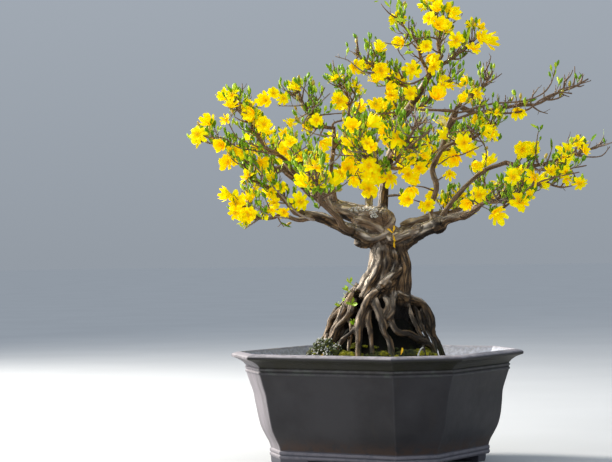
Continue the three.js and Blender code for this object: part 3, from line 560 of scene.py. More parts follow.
Limb = namedtuple("Limb", "route radius_at knot", defaults=[0])
limbs = {"trunk": Limb(trunk_route, trunk_radius)}
for order, (name, parent, along, tip, bow, thick, thin, *knot) in enumerate(BOUGHS):
    route = bent_route(limbs[parent].route.at(along), tip, bow, Chance(BOUGH_SEED + order))
    limbs[name] = Limb(route, limb_radius(thick, thin), *knot)


class Mass:
    """One mass of blossom: its stem and what grows on it."""

    def __init__(self, order, row):
        self.name, parent, along, tip, bow, self.reach, self.bloom = row
        self.order, self.chance = order, Chance(MASS_SEED + order)
        limb = limbs[parent]
        start, onward = limb.route.at(along), limb.route.heading(1)
        self.joins_tip = along == 1
        lead = None
        if self.joins_tip:
            start = start + onward * GAP
            lead = start + onward * STEM_LEAD
        self.stem = bent_route(start, tip, bow, self.chance, lead)
        self.thick = float(limb.radius_at(1)) if self.joins_tip else SIDE_STEM_THICK
        self.line = self.stem.points(np.linspace(0, 1, STEM_SAMPLES + 1))
        self.twigs, self.flowers, self.buds, self.leaves = [], [], [], []
        self.spurs, self.sprigs, self.shown = [], [], []


masses = [Mass(order, row) for order, row in enumerate(MASSES)]


class Room:
    """The space of each mass: near its own stem, nearer than any other stem, and off the limbs."""

    def __init__(self):
        self.start = np.vstack([mass.line[:-1] for mass in masses])
        self.step = np.vstack([np.diff(mass.line, axis=0) for mass in masses])
        self.square = (self.step ** 2).sum(axis=1)
        balls = []
        for limb in limbs.values():
            along = np.linspace(0, 1, LIMB_SAMPLES + 1)
            radii = np.array([float(limb.radius_at(share)) for share in along])
            balls += zip(limb.route.points(along), radii)
            if limb.knot:
                balls.append((limb.route.at(1), limb.knot))
        balls += [(np.array(place, float), max(size)) for place, size in KNOTS]
        self.middles = np.array([middle for middle, radius in balls])
        self.radii = np.array([radius for middle, radius in balls]) + SAMPLE_GAP + 1

    def to_stems(self, points):
        apart = points[:, None, :] - self.start[None]
        share = np.clip((apart * self.step).sum(axis=2) / self.square, 0, 1)
        gaps = np.linalg.norm(apart - share[..., None] * self.step, axis=2)
        return gaps.reshape(len(points), len(masses), STEM_SAMPLES).min(axis=2)

    def holds(self, points, mass):
        points = np.atleast_2d(points)
        apart = np.linalg.norm(points[:, None, :] - self.middles[None], axis=2)
        if (apart < self.radii).any():
            return False
        gaps = self.to_stems(points)
        own = gaps[:, mass.order].copy()
        gaps[:, mass.order] = np.inf
        return bool((own <= mass.reach).all() and (gaps.min(axis=1) > own + SAMPLE_GAP).all())


room = Room()


def facing_turn(direction, spin):
    """The turn that sets a shape modelled upright along +Y to its own direction."""
    tilt = Vector((0, 1, 0)).rotation_difference(Vector(direction)).to_matrix()
    return np.array(tilt @ Matrix.Rotation(spin, 3, "Y"))


def flower_corners():
    """The points of a plain flower, which are tried when it is given room."""
    turns = np.arange(2 * PETALS) * math.pi / PETALS
    tips = np.arange(2 * PETALS) % 2 == 0
    radius = np.where(tips, PETAL_TIP, PETAL_NOTCH)
    lift = np.where(tips, PETAL_LIFT, PETAL_LIFT / 2)
    ring = np.stack([radius * np.cos(turns), lift, radius * np.sin(turns)], axis=1)
    return np.vstack([ring, [[0, FLOWER_TOP, 0], [0, -CALYX_DEPTH, 0]]])


FLOWER_CORNERS = flower_corners()
BUD_CORNERS = np.vstack([np.eye(3), -np.eye(3)]) * [BUD_RADIUS, BUD_LENGTH / 2, BUD_RADIUS]


def in_the_open(origin):
    """Whether a place lies where the crown shows hardly any blossom."""
    return any(math.hypot(origin[0] - x, origin[2] - z) < clear for x, z, clear in OPEN_PLACES)


def at_bare_tip(mass, origin, ease=1.0):
    """Whether a place lies out where its mass is nearly bare."""
    share = BARE_TIPS.get(mass.name)
    if share is None:
        return False
    return np.linalg.norm(origin - mass.stem.at(0)) > ease * share * mass.stem.length


def add_flower(mass, origin, direction, chance, spacing=FLOWER_SPACING, size=1.0):
    facing = unit(direction + UP * 0.4 + chance.direction() * 0.35)
    turn = facing_turn(facing, chance() * math.tau)
    crowded = any(np.linalg.norm(other[0] - origin) < spacing for other in mass.flowers)
    if crowded or at_bare_tip(mass, origin) or in_the_open(origin):
        return False
    if not room.holds(FLOWER_CORNERS * size @ turn.T + origin, mass):
        return False
    mass.flowers.append((origin, turn, size))
    return True


def add_bud(mass, origin, direction, chance):
    facing = unit(direction + UP * 0.8 + chance.direction() * 0.5)
    turn = facing_turn(facing, 0)
    if room.holds(BUD_CORNERS @ turn.T + origin + facing * (BUD_LENGTH / 2 - 2), mass):
        mass.buds.append((origin, facing))


def twig_route(stem, along, turn, chance, length):
    """A twig leaves its stem sideways and forwards, and turns up."""
    onward = stem.heading(along)
    across = unit(np.cross(onward, UP))
    upright = np.cross(across, onward)
    side = across * math.cos(turn) + upright * math.sin(turn)
    lean = TWIG_LEAN[0] + TWIG_LEAN[1] * chance()
    heading = unit(onward * math.cos(lean) + side * math.sin(lean) + UP * TWIG_RISE)
    length = length(chance)
    root = stem.at(along)
    middle = root + heading * length / 2
    heading = unit(heading + UP * TWIG_RISE + chance.direction() * 0.2)
    return Route([root, middle, middle + heading * length / 2])


def along_stem(step, count):
    """Where on a stem a twig stands: from a little above its foot to its tip."""
    return STEM_BARE + STEM_DRESSED * step / count


def add_twig(mass, along, turn):
    chance = mass.chance
    longest = mass.reach * (1 - TWIG_LOSS * along)
    least, more = TWIG_LENGTH
    route = twig_route(mass.stem, along, turn, chance, lambda c: longest * (least + more * c()))
    if not room.holds(route.points(np.array([0.25, 0.5, 0.75, 1.0])), mass):
        return False
    mass.twigs.append(route)
    middle, end, heading = route.at(SIDE_PLACE), route.at(1), route.heading(1)
    if chance() < FLOWER_SHARE:
        add_flower(mass, end, heading, chance)
    else:
        add_bud(mass, end, heading, chance)
    aside = unit(np.cross(heading, chance.direction()))
    draw = chance()
    if draw < SIDE_FLOWER_SHARE:
        add_flower(mass, middle + aside * SIDE_STALK, aside, chance)
    elif draw < SIDE_FLOWER_SHARE + BUD_SHARE:
        add_bud(mass, middle, aside, chance)
    return True


def grow_mass(mass):
    count = max(3, math.floor(mass.stem.length / TWIG_SPACING + 0.5))
    turn = mass.chance() * math.tau
    for i in range(count):
        for attempt in range(TWIG_TRIES):
            turn += GOLDEN_TURN
            if add_twig(mass, along_stem(i + 0.5, count), turn):
                break
    add_flower(mass, mass.stem.at(1), mass.stem.heading(1), mass.chance)


def fine_route(parent, along, turn, chance, lengths):
    """A finer twig, with a kink of its own half-way."""
    route = twig_route(parent, along, turn, chance, lambda draw: draw.between(*lengths))
    root, middle, end = route.points(np.array([0, 0.5, 1]))
    return Route([root, middle + chance.direction() * route.length * FINE_KINK, end])


def grow_fine(mass, parents, found, spacing, lengths, chance, dress):
    """The same rule again on each parent, with shorter, thinner twigs."""
    for parent in parents:
        count = max(1, int(parent.length / spacing))
        turn = chance() * math.tau
        for i in range(count):
            along = along_stem(i + chance(), count)
            for attempt in range(SPUR_TRIES):
                turn += GOLDEN_TURN
                route = fine_route(parent, along, turn, chance, lengths)
                if room.holds(route.points(np.array([0.5, 1.0])), mass):
                    if not at_bare_tip(mass, route.at(0)) or chance() >= BARE_SPURS:
                        found.append(route)
                        dress(mass, route, chance)
                    break


def fine_flower(mass, origin, heading, chance):
    """A flower that faces out of the crown, if one of a few tries finds room."""
    outward = unit(origin - np.array(CROWN_MIDDLE))
    for attempt in range(FLOWER_TRIES):
        facing = unit(heading * 0.5 + outward * 0.5 + chance.direction() * 0.9 - UP * 0.1)
        size, place = chance.between(*FINE_FLOWER_SIZES), origin + facing * FLOWER_STALK
        if add_flower(mass, place, facing, chance, FINE_FLOWER_SPACING, size):
            return True
    return False


def bud_cluster(mass, origin, heading, chance, most):
    if at_bare_tip(mass, origin, BARE_BUD_EASE) and chance() < BARE_BUDS:
        return
    for bud in range(1 + int(chance() * most)):
        facing = unit(heading * 0.5 + UP * 0.9 + chance.direction() * 0.5)
        if room.holds(origin + facing * BUD_LENGTH, mass):
            mass.buds.append((origin, facing))


def dress_spur(mass, route, chance):
    """What a spur carries: a flower or buds at its end, and buds or a leaf on its side."""
    end, heading = route.at(1), route.heading(1)
    if chance() > FINE_FLOWER_SHARE * mass.bloom or not fine_flower(mass, end, heading, chance):
        bud_cluster(mass, end, heading, chance, SPUR_BUDS[0])
    if chance() < SPUR_BUD_SHARE:
        bud_cluster(mass, route.at(chance.between(0.4, 0.8)), heading, chance, SPUR_BUDS[1])
    if chance() < LEAF_SHARE:
        facing = unit(heading + UP * 0.5 + chance.direction() * 0.6)
        mass.leaves.append((route.at(chance.between(0.5, 1.0)), facing))


def dress_sprig(mass, route, chance):
    end, heading = route.at(1), route.heading(1)
    if chance() > SPRIG_FLOWER_SHARE * mass.bloom or not fine_flower(mass, end, heading, chance):
        if chance() < SPRIG_BUD_SHARE:
            bud_cluster(mass, end, heading, chance, SPRIG_BUDS)


def front_wood():
    """Places along the wood of the front half, and the front mass nearest to each."""
    stems = np.vstack([mass.line for mass in masses])
    wood = np.vstack([stems, room.middles])
    wood = wood[wood[:, 1] < FRONT_DEPTH]
    return wood, room.to_stems(wood).argmin(axis=1)


def away(points, place):
    """How far each point is from a place."""
    return np.linalg.norm(points - place, axis=1)


def sighted(place, depth):
    """The place at this depth that lies behind or before one at the plane of the shown rows."""
    eye = np.array([EYE[0], EYE[2]])
    return eye + (np.array(place) - eye) * (depth - EYE[1]) / (SHOWN_PLANE - EYE[1])


def show_flower(row, chance, wood, owners):
    """Sets one of the shown flowers on a spur of its own, grown from the nearest wood."""
    x, z, size, aside, up = row
    size *= SHOWN_SIZE
    place = np.array([x, z])
    turned_to = np.array([1.2 * aside, 0.5 * abs(aside) - 1, 1.2 * up])
    facing = unit(turned_to + chance.direction() * 0.28)
    turn = facing_turn(facing, chance() * math.tau)
    nearest = away(wood[:, [0, 2]], place).argmin()
    near, mass = wood[nearest], masses[owners[nearest]]
    others = np.array([flower[0] for m in masses for flower in m.flowers])
    for nudge in SHOWN_NUDGES:
        for depth in SHOWN_DEPTHS:
            moved = sighted(place, near[1] + depth)
            moved += (near[[0, 2]] - moved) * nudge - facing[[0, 2]] * SHOWN_LIFT * size
            origin = np.array([moved[0], near[1] + depth, moved[1]])
            gaps = away(wood, origin)
            inside = (away(room.middles, origin) < room.radii + SHOWN_CLEAR).any()
            crowded = (away(others, origin) < SHOWN_SPACING).any()
            if not crowded and not inside and gaps.min() <= SHOWN_REACH:
                mass.flowers.append((origin, turn, size))
                root, end = wood[gaps.argmin()], origin - facing * FLOWER_STALK
                bend = (root + end) / 2 + chance.direction() * 3 + UP * 2
                mass.spurs.append(Route([root, bend, end]))
                return


def show_twig(row, chance):
    """Grows one of the shown twigs from the nearest wood, as far as its mass reaches."""
    thick, *places = row
    front = [mass for mass in masses if mass.line[-1][1] < FRONT_DEPTH]
    owners = np.repeat(np.arange(len(front)), [len(mass.line) for mass in front])
    stems = np.vstack([mass.line for mass in front])
    near = [away(stems[:, [0, 2]], place).argmin() for place in places]
    depths = [stems[index][1] + SHOWN_TWIG_DEPTH for index in near]
    depths = np.convolve([depths[0], *depths, depths[-1]], [0.25, 0.5, 0.25], "valid")
    seen = [sighted(place, depth) for place, depth in zip(places, depths)]
    line = [np.array([x, depth, z], float) for (x, z), depth in zip(seen, depths)]
    wood = np.vstack([room.middles, stems])
    root = wood[away(wood, line[0]).argmin()]
    route = Route([root, *(place + chance.direction() * 1.5 for place in line)])
    along = np.linspace(0, 1, SHOWN_TWIG_STEPS + 1)
    points = route.points(along)
    to_limbs = np.linalg.norm(points[:, None, :] - room.middles[None], axis=2).min(axis=1)
    held = along[np.minimum(room.to_stems(points).min(axis=1), to_limbs) <= SHOWN_TWIG_REACH]
    if len(held) < LEAST_HELD:
        return
    if held[-1] < 1:
        route = Route(route.points(np.linspace(0, held[-1], 8)))
    mass = front[owners[near[-1]]]
    mass.shown.append((route, thick))
    for share in np.arange(0.25, 1, TUFT_SPACING / route.length):
        facing = route.heading(share) * 0.4 + UP * chance.between(0.2, 1) + chance.direction() * 0.7
        facing = unit(facing)
        if chance() < TUFT_SHARE:
            place = route.at(share)
            end = place + facing * chance.between(3, 9)
            mass.sprigs.append(Route([place, (place + end) / 2 + chance.direction(), end]))
            for bud in range(int(chance() * 3)):
                mass.buds.append((end, unit(facing + UP * 0.6 + chance.direction() * 0.6)))


def grow_finer(mass):
    chance = Chance(SPUR_SEED + mass.order)
    parents = [mass.stem] + mass.twigs
    grow_fine(mass, parents, mass.spurs, SPUR_SPACING, SPUR_LENGTH, chance, dress_spur)
    grow_fine(mass, mass.spurs, mass.sprigs, SPRIG_SPACING, SPRIG_LENGTH, chance, dress_sprig)


for mass in masses:
    grow_mass(mass)
shown_chance = Chance(DETAIL_SEED + 9)
front, front_owners = front_wood()
for row in SHOWN_FLOWERS:
    show_flower(row, shown_chance, front, front_owners)
for row in SHOWN_TWIGS:
    show_twig(row, shown_chance)
for mass in masses:
    grow_finer(mass)


# Shapes, pieces and how they are set down


class Shape:
    """A small shape that is repeated: its points, its triangles and the finish of each."""

    def __init__(self, bm, upright=False):
        bmesh.ops.triangulate(bm, faces=bm.faces)
        bm.verts.index_update()
        self.points = np.array([vert.co for vert in bm.verts])
        self.faces = np.array([[vert.index for vert in face.verts] for face in bm.faces])
        self.finish = np.array([face.material_index for face in bm.faces])
        if upright:
            self.points = self.points[:, [0, 2, 1]] * [1, 1, -1]
        bm.free()


def set_down(points):
    return np.asarray(points) * MM + TREE_ORIGIN


def new_object(name, data):
    made = bpy.data.objects.new(name, data)
    bpy.context.scene.collection.objects.link(made)
    return made


def finished_piece(name, mesh, finishes, nodes):
    """The piece rides on the tree's one body and stands for its nodes."""
    piece = new_object(name, mesh)
    for finish in finishes:
        mesh.materials.append(finish)
    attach(piece, "root")
    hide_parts(*nodes)


def store(mesh, name, values):
    """Keeps a number or a direction for each point, which the finishes read."""
    kind, field = ("FLOAT", "value") if values.ndim == 1 else ("FLOAT_VECTOR", "vector")
    layer = mesh.attributes.new(name, kind, "POINT")
    layer.data.foreach_set(field, values.astype(np.float32).ravel())


def mesh_of(name, points, faces, finish=None):
    mesh = bpy.data.meshes.new(name)
    mesh.vertices.add(len(points))
    mesh.vertices.foreach_set("co", np.ascontiguousarray(points, np.float32).ravel())
    mesh.loops.add(faces.size)
    mesh.loops.foreach_set("vertex_index", np.ascontiguousarray(faces, np.int32).ravel())
    mesh.polygons.add(len(faces))
    mesh.polygons.foreach_set("loop_start", np.arange(0, faces.size, faces.shape[1], dtype=np.int32))
    if finish is not None:
        mesh.polygons.foreach_set("material_index", finish.astype(np.int32))
    mesh.polygons.foreach_set("use_smooth", np.ones(len(faces), bool))
    mesh.update(calc_edges=True)
    mesh.validate()
    return mesh


class Spray:
    """Many small shapes, gathered and joined into one piece."""

    def __init__(self):
        self.points, self.faces, self.finish, self.young, self.count = [], [], [], [], 0

    def add(self, points, faces, finish=0, young=1.0):
        self.points.append(points)
        self.faces.append(faces + self.count)
        self.finish.append(np.broadcast_to(finish, len(faces)))
        self.young.append(np.broadcast_to(young, len(points)))
        self.count += len(points)

    def add_shape(self, shape, origin, turn, size=1.0, shift=0):
        self.add(shape.points * size @ turn.T + origin, shape.faces, shape.finish + shift)

    def add_rod(self, route, radius_at, sides, steps, finish=0):
        self.add(*bent_rod(route, radius_at, sides, steps), finish)

    def piece(self, name, finishes, slot, nodes):
        points = set_down(np.vstack(self.points))
        mesh = mesh_of(name, points, np.vstack(self.faces), np.concatenate(self.finish))
        store(mesh, "young", np.concatenate(self.young))
        finished_piece(name, mesh, finishes, nodes)


@cache
def rod(sides, steps):
    """A straight closed rod of radius 1 and length 1, cut into steps."""
    bm = bmesh.new()
    bmesh.ops.create_cone(
        bm, cap_ends=True, cap_tris=True, segments=sides, radius1=1, radius2=1, depth=1)
    uprights = [e for e in bm.edges if abs(e.verts[0].co.z - e.verts[1].co.z) > 0.5]
    bmesh.ops.subdivide_edges(bm, edges=uprights, cuts=steps - 1)
    return Shape(bm)


def bent_rod(route, radius_at, sides, steps, lead=0.0):
    """The rod bent along a route. lead makes it start that much earlier."""
    shape = rod(sides, steps)
    rows = np.rint((shape.points[:, 2] + 0.5) * steps).astype(int)
    across = np.hypot(shape.points[:, 0], shape.points[:, 1])
    turns = np.arctan2(shape.points[:, 1], shape.points[:, 0])
    middles, ahead, normals, binormals = route.frames(steps)
    middles = middles.copy()
    middles[0] -= ahead[0] * lead
    radius = (across * radius_at(rows / steps, turns))[:, None]
    aside = normals[rows] * np.cos(turns)[:, None] + binormals[rows] * np.sin(turns)[:, None]
    return middles[rows] + radius * aside, shape.faces


# Finishes

# pale holds painted sunlight on the upper and sunny sides of the wood
BARK_LAYERS = ["ridge", "hollow_shade", "pale", "young", "painted_root_shade"]


class Value:
    """A socket of a node tree that Python's operators work on."""

    def __init__(self, finish, socket):
        self.finish, self.socket = finish, socket

    def _math(self, operation, first, second):
        node = self.finish.node("ShaderNodeMath", {"operation": operation}, {0: first, 1: second})
        return Value(self.finish, node.outputs[0])

    def __add__(self, other):
        return self._math("ADD", self, other)

    def __sub__(self, other):
        return self._math("SUBTRACT", self, other)

    def __rsub__(self, other):
        return self._math("SUBTRACT", other, self)

    def __mul__(self, other):
        return self._math("MULTIPLY", self, other)

    __radd__ = __add__
    __rmul__ = __mul__

    def rise(self, low, high):
        """0 below low, 1 above high and smooth between them."""
        inputs = {"Value": self, "From Min": low, "From Max": high}
        node = self.finish.node("ShaderNodeMapRange", {"interpolation_type": "SMOOTHSTEP"}, inputs)
        return Value(self.finish, node.outputs["Result"])


class Finish:
    """One material, made of nodes by short calls."""

    def __init__(self, name, **constants):
        self.material = bpy.data.materials.new(name)
        self.material.use_nodes = True
        self.tree = self.material.node_tree
        self.shader = next(n for n in self.tree.nodes if n.type == "BSDF_PRINCIPLED")
        for socket, constant in constants.items():
            self.shader.inputs[socket.replace("_", " ")].default_value = constant
        self.place = self.node("ShaderNodeTexCoord").outputs["Object"]

    def node(self, kind, settings=None, inputs=None):
        node = self.tree.nodes.new(kind)
        for setting, chosen in (settings or {}).items():
            setattr(node, setting, chosen)
        for socket, given in (inputs or {}).items():
            given = getattr(given, "socket", given)
            if isinstance(given, bpy.types.NodeSocket):
                # the stamens carry a faint painted glow too
                self.tree.links.new(given, node.inputs[socket])
            else:
                node.inputs[socket].default_value = given
        return node

    def stored(self, name):
        return self.node("ShaderNodeAttribute", {"attribute_name": name}).outputs

    def attribute(self, name):
        return Value(self, self.stored(name)["Fac"])

    def direction(self, name):
        return self.stored(name)["Vector"]

    def height(self):
        return Value(self, self.node("ShaderNodeSeparateXYZ", {}, {0: self.place}).outputs["Z"])

    def stretched(self, stretch, where=None):
        inputs = {"Vector": where or self.place, "Scale": stretch}
        return self.node("ShaderNodeMapping", {}, inputs).outputs[0]

    def noise(self, scale, detail=3.0, rough=0.55, where=None):
        inputs = {"Vector": where or self.place, "Scale": scale, "Detail": detail, "Roughness": rough}
        return Value(self, self.node("ShaderNodeTexNoise", {}, inputs).outputs["Fac"])

    def cell_edges(self, scale, where):
        """How far a place is from the edge of its cell, among cells without order."""
        settings, inputs = {"feature": "DISTANCE_TO_EDGE"}, {"Vector": where, "Scale": scale}
        return Value(self, self.node("ShaderNodeTexVoronoi", settings, inputs).outputs["Distance"])

    @staticmethod
    def colour(given):
        return given if isinstance(given, bpy.types.NodeSocket) else (*given, 1.0)

    def mix(self, first, second, share):
        inputs = {0: share, 6: self.colour(first), 7: self.colour(second)}
        return self.node("ShaderNodeMix", {"data_type": "RGBA"}, inputs).outputs[2]

    def coats(self, colour, *coats):
        """Lays further colours over the first one, each by its own share."""
        for over, share in coats:
            colour = self.mix(colour, over, share)
        return colour

    def set(self, **links):
        for socket, given in links.items():
            socket = self.shader.inputs[socket.replace("_", " ")]
            self.tree.links.new(getattr(given, "socket", given), socket)

    def bump(self, height, distance):
        inputs = {"Height": height, "Distance": distance, "Strength": 1.0}
        self.set(Normal=self.node("ShaderNodeBump", {}, inputs).outputs["Normal"])


def clay_finish():
    finish = Finish("weathered_clay", Specular_IOR_Level=0.3)
    wear_and_sunlight, dust, painted_sunlight = (finish.attribute(name) for name in ("wear_and_sunlight", "dust", "painted_sunlight"))
    height, rim = finish.height(), float(TREE_ORIGIN[2])
    broad = finish.noise(9, 4)
    mottle = finish.noise(60, 5, 0.6)
    streak = finish.noise(34, 4, 0.6, finish.stretched((1, 1, 0.12)))
    under_lip = height.rise(rim - 0.034, rim - 0.020) * (1 - height.rise(rim - 0.006, rim - 0.003))
    beads = height.rise(rim - 0.036, rim - 0.033) * (1 - height.rise(rim - 0.024, rim - 0.021))
    low = 1 - height.rise(0.030, 0.060)
    moulding = 1 - height.rise(0.028, 0.033)
    colour = finish.coats(
        finish.mix((0.019, 0.0175, 0.0195), (0.033, 0.031, 0.034), broad.rise(0.35, 0.65)),
        ((0.036, 0.028, 0.021), streak.rise(0.55, 0.8) * 0.45),
        ((0.0175, 0.0165, 0.009), under_lip * (0.6 + streak.rise(0.3, 0.6) * 0.4)),
        ((0.052, 0.030, 0.021), low * mottle.rise(0.32, 0.55) * 0.85),
        ((0.066, 0.068, 0.088), moulding * 0.8),
        ((0.040, 0.052, 0.036), beads * mottle.rise(0.48, 0.62) * 0.6),
        # pale wear on the rubbed edges and corners, and painted sunlight on the rim top
        ((0.33, 0.31, 0.345), wear_and_sunlight * (0.5 + mottle.rise(0.3, 0.6) * 0.5)),
        ((0.46, 0.49, 0.58), dust * (0.6 + finish.noise(160, 4).rise(0.3, 0.7) * 0.4)),
        # painted sunlight: the sunny face lighter, as if the sun fell on it
        ((0.235, 0.215, 0.235), painted_sunlight * (0.55 + streak.rise(0.35, 0.65) * 0.45)),
    )
    finish.set(Base_Color=colour, Roughness=0.5 + mottle * 0.16)
    finish.bump(mottle * 0.6 + finish.noise(600, 3) * 0.4, 0.0006)
    return finish.material


def earth_finish():
    finish = Finish("moss_and_soil", Specular_IOR_Level=0.15)
    grit = finish.noise(420, 4, 0.65)
    lush = finish.noise(55, 4).rise(0.45, 0.66) * grit.rise(0.3, 0.6)
    colour = finish.coats(
        finish.mix((0.020, 0.014, 0.009), (0.075, 0.052, 0.034), grit.rise(0.35, 0.65)),
        (finish.mix((0.022, 0.040, 0.010), (0.16, 0.20, 0.018), lush), finish.attribute("moss")),
        # painted shade: near black under the roots round the trunk
        ((0.004, 0.004, 0.003), finish.attribute("dark")),
    )
    finish.set(Base_Color=colour, Roughness=0.88 + grit * 0.12)
    finish.bump(grit + finish.noise(1100, 2) * 0.5, 0.0016)
    return finish.material


def bark_finish():
    finish = Finish("old_bark", Specular_IOR_Level=0.3)
    ridge, hollow_shade, pale, young, painted_root_shade = (finish.attribute(name) for name in BARK_LAYERS)
    grain = finish.direction("grain")
    fibre = finish.noise(420, 5, 0.62, grain)
    flake = finish.noise(110, 4, 0.6, grain)
    patch = finish.noise(26, 3)
    crack = 1 - finish.cell_edges(105, finish.stretched((1, 1, 2.2), grain)).rise(0.05, 0.27)
    twiggy = finish.mix((0.072, 0.040, 0.023), (0.27, 0.170, 0.098), fibre.rise(0.3, 0.65))
    flaked = (0.7 + flake.rise(0.3, 0.6) * ridge.rise(0.2, 0.6) * 0.3) * (1 - crack * 0.7)
    ground = 1 - finish.height().rise(0.192, 0.226)
    # lighter on the ridges: the bark's own tone together with a painted highlight
    rough = fibre.rise(0.3, 0.62) * 0.5 + ridge * 0.5
    colour = finish.coats(
        finish.mix((0.082, 0.044, 0.019), (0.330, 0.192, 0.086), rough),
        # light flakes on the ridges: partly the bark's own tone, partly a painted highlight
        ((0.47, 0.32, 0.175), flake.rise(0.5, 0.68) * ridge.rise(0.4, 0.8) * 0.6),
        ((0.19, 0.155, 0.11), patch.rise(0.56, 0.7) * 0.3),
        ((0.040, 0.025, 0.014), (1 - patch.rise(0.38, 0.5)) * 0.5),
        # painted shade: near black in the grooves between the ridges
        ((0.010, 0.007, 0.005), (1 - ridge.rise(0.16, 0.5)) * 0.95),
        ((0.018, 0.012, 0.009), crack * flake.rise(0.3, 0.5) * 0.85),
        (twiggy, young),
        # painted shade: the low roots darker, most towards the right
        ((0.018, 0.018, 0.016), painted_root_shade * (0.95 - flake.rise(0.5, 0.7) * 0.4)),
        # painted sunlight: the upper sides and the sunny left flank pale
        ((0.82, 0.71, 0.58), pale * flaked * (1 - young * 0.4)),
        ((0.055, 0.072, 0.024), ground * patch.rise(0.42, 0.56) * 0.7),
        # painted shade: near black deep in the hollows among the roots
        ((0.010, 0.007, 0.005), hollow_shade),
    )
    finish.set(Base_Color=colour, Roughness=0.72 + fibre * 0.25)
    finish.bump(fibre * 0.6 + flake * 0.8 - crack * 1.2, 0.0022)
    return finish.material


def twig_finish(name, dark, light):
    finish = Finish(name, Specular_IOR_Level=0.3)
    mottle = finish.noise(600, 3)
    colour = finish.mix(dark, light, mottle.rise(0.3, 0.7))
    colour = finish.mix((0.15, 0.10, 0.062), colour, finish.attribute("young"))
    finish.set(Base_Color=colour, Roughness=0.65 + mottle * 0.2)
    finish.bump(mottle, 0.0006)
    return finish.material


def plain_finish(name, dark, light, scale, rough=0.5, glow=0.0, **constants):
    """One colour for a joined piece of small things, with a little life in it."""
    finish = Finish(name, **constants)
    mottle = finish.noise(scale, 2)
    colour = finish.mix(dark, light, mottle.rise(0.3, 0.7))
    finish.set(Base_Color=colour, Roughness=rough + (mottle - 0.5) * 0.2)
    # a painted glow: the piece shines with its own colour, though it is no lamp
    if glow:
        finish.set(Emission_Color=colour)
        finish.shader.inputs["Emission Strength"].default_value = glow
    return finish.material


def petal_finish(name, dark, light):
    """Thin petals: matt, with a little painted glow that stands in for light shining through them."""
    return plain_finish(name, dark, light, 160, 0.75, 0.17, Specular_IOR_Level=0.04)


# The pot

POT_LEG = POT_CUT / math.sqrt(2)
POT_HALF_WIDTH = POT_FRONT / 2 + POT_LEG
POT_HALF_DEPTH = POT_SIDE / 2 + POT_LEG
POT_HALF_CUT = (POT_HALF_WIDTH + POT_HALF_DEPTH - POT_LEG) / math.sqrt(2)
POT_HALVES = [POT_HALF_WIDTH, POT_HALF_CUT, POT_HALF_DEPTH, POT_HALF_CUT]
FACE_TURN = math.tau / POT_FACES
ARRIS_POINTS = 4
ARRIS_BORDER = 1.6              # the flat faces start this far from their arris
FACE_POINTS = [7, 15]           # points along a cut corner's face and along a long face
SUNNY_FACE = 5                  # the face painted lighter, as painted sunlight
FULLER_SIDE = 5.5               # the pot's right side is that much fuller low down
POT_UNEVEN = 0.45               # hand-pressed clay is never quite flat
SHARP_CREASE = 38
# Rows of the feet's outline: how far it draws in, and its height under the pot
FOOT_ROWS = [(0, 1), (0.3, -4), (0.8, -9), (FOOT_DRAFT, 1 - POT_FOOT), (FOOT_DRAFT + 1, -POT_FOOT)]


def pot_corner(index, inset):
    """A corner of the pot in its own directions, moved in from the rim by an inset."""
    first, second = (POT_HALVES[face % 4] - inset for face in (index, index + 1))
    start, end = index * FACE_TURN, (index + 1) * FACE_TURN
    x = (first * math.sin(end) - second * math.sin(start)) / math.sin(FACE_TURN)
    y = (second * math.cos(start) - first * math.cos(end)) / math.sin(FACE_TURN)
    return np.array([x, y])


def around(turn):
    return np.array([math.cos(turn), math.sin(turn)])


def turned(point):
    cos, sin = math.cos(POT_TURN), math.sin(POT_TURN)
    return np.array([point[0] * cos - point[1] * sin, point[0] * sin + point[1] * cos])


def pot_outline(inset, arris):
    """The eight-sided outline with rounded corners: places, how near each is to a corner, and how much
    painted sunlight each gets.
    """
    places, corner_wear, sunny = [], [], []
    for index in range(POT_FACES):
        middle, next_middle = (pot_corner(i, inset + arris) for i in (index, index + 1))
        for step in range(ARRIS_POINTS):
            places.append(middle + arris * around((index + step / (ARRIS_POINTS - 1)) * FACE_TURN))
            corner_wear.append(1.0)
            sunny.append(0.5 * (SUNNY_FACE in (index, index + 1)))
        start, end = places[-1], next_middle + arris * around((index + 1) * FACE_TURN)
        border = ARRIS_BORDER / np.linalg.norm(end - start)
        for share in np.linspace(border, 1 - border, FACE_POINTS[index % 2]):
            places.append(start + (end - start) * share)
            corner_wear.append(0.0)
            sunny.append(float(index + 1 == SUNNY_FACE))
    return places, corner_wear, sunny


def bead(inset, low, high, proud, wear_and_sunlight=0.35, steps=6):
    """A half-round bead between two heights that stands proud of an inset."""
    rows = []
    for step in range(steps + 1):
        turn = math.pi * step / steps
        height = (low + high) / 2 - (high - low) / 2 * math.cos(turn)
        rows.append((inset - proud * math.sin(turn), height, wear_and_sunlight * math.sin(turn), 0))
    return rows


def eased(points, steps, wear_and_sunlight=0.0, dust=0.0):
    """A smooth stretch of the profile through points of inset and height."""
    return [(*place, wear_and_sunlight, dust) for place in Route(points).points(np.linspace(0, 1, steps + 1))]


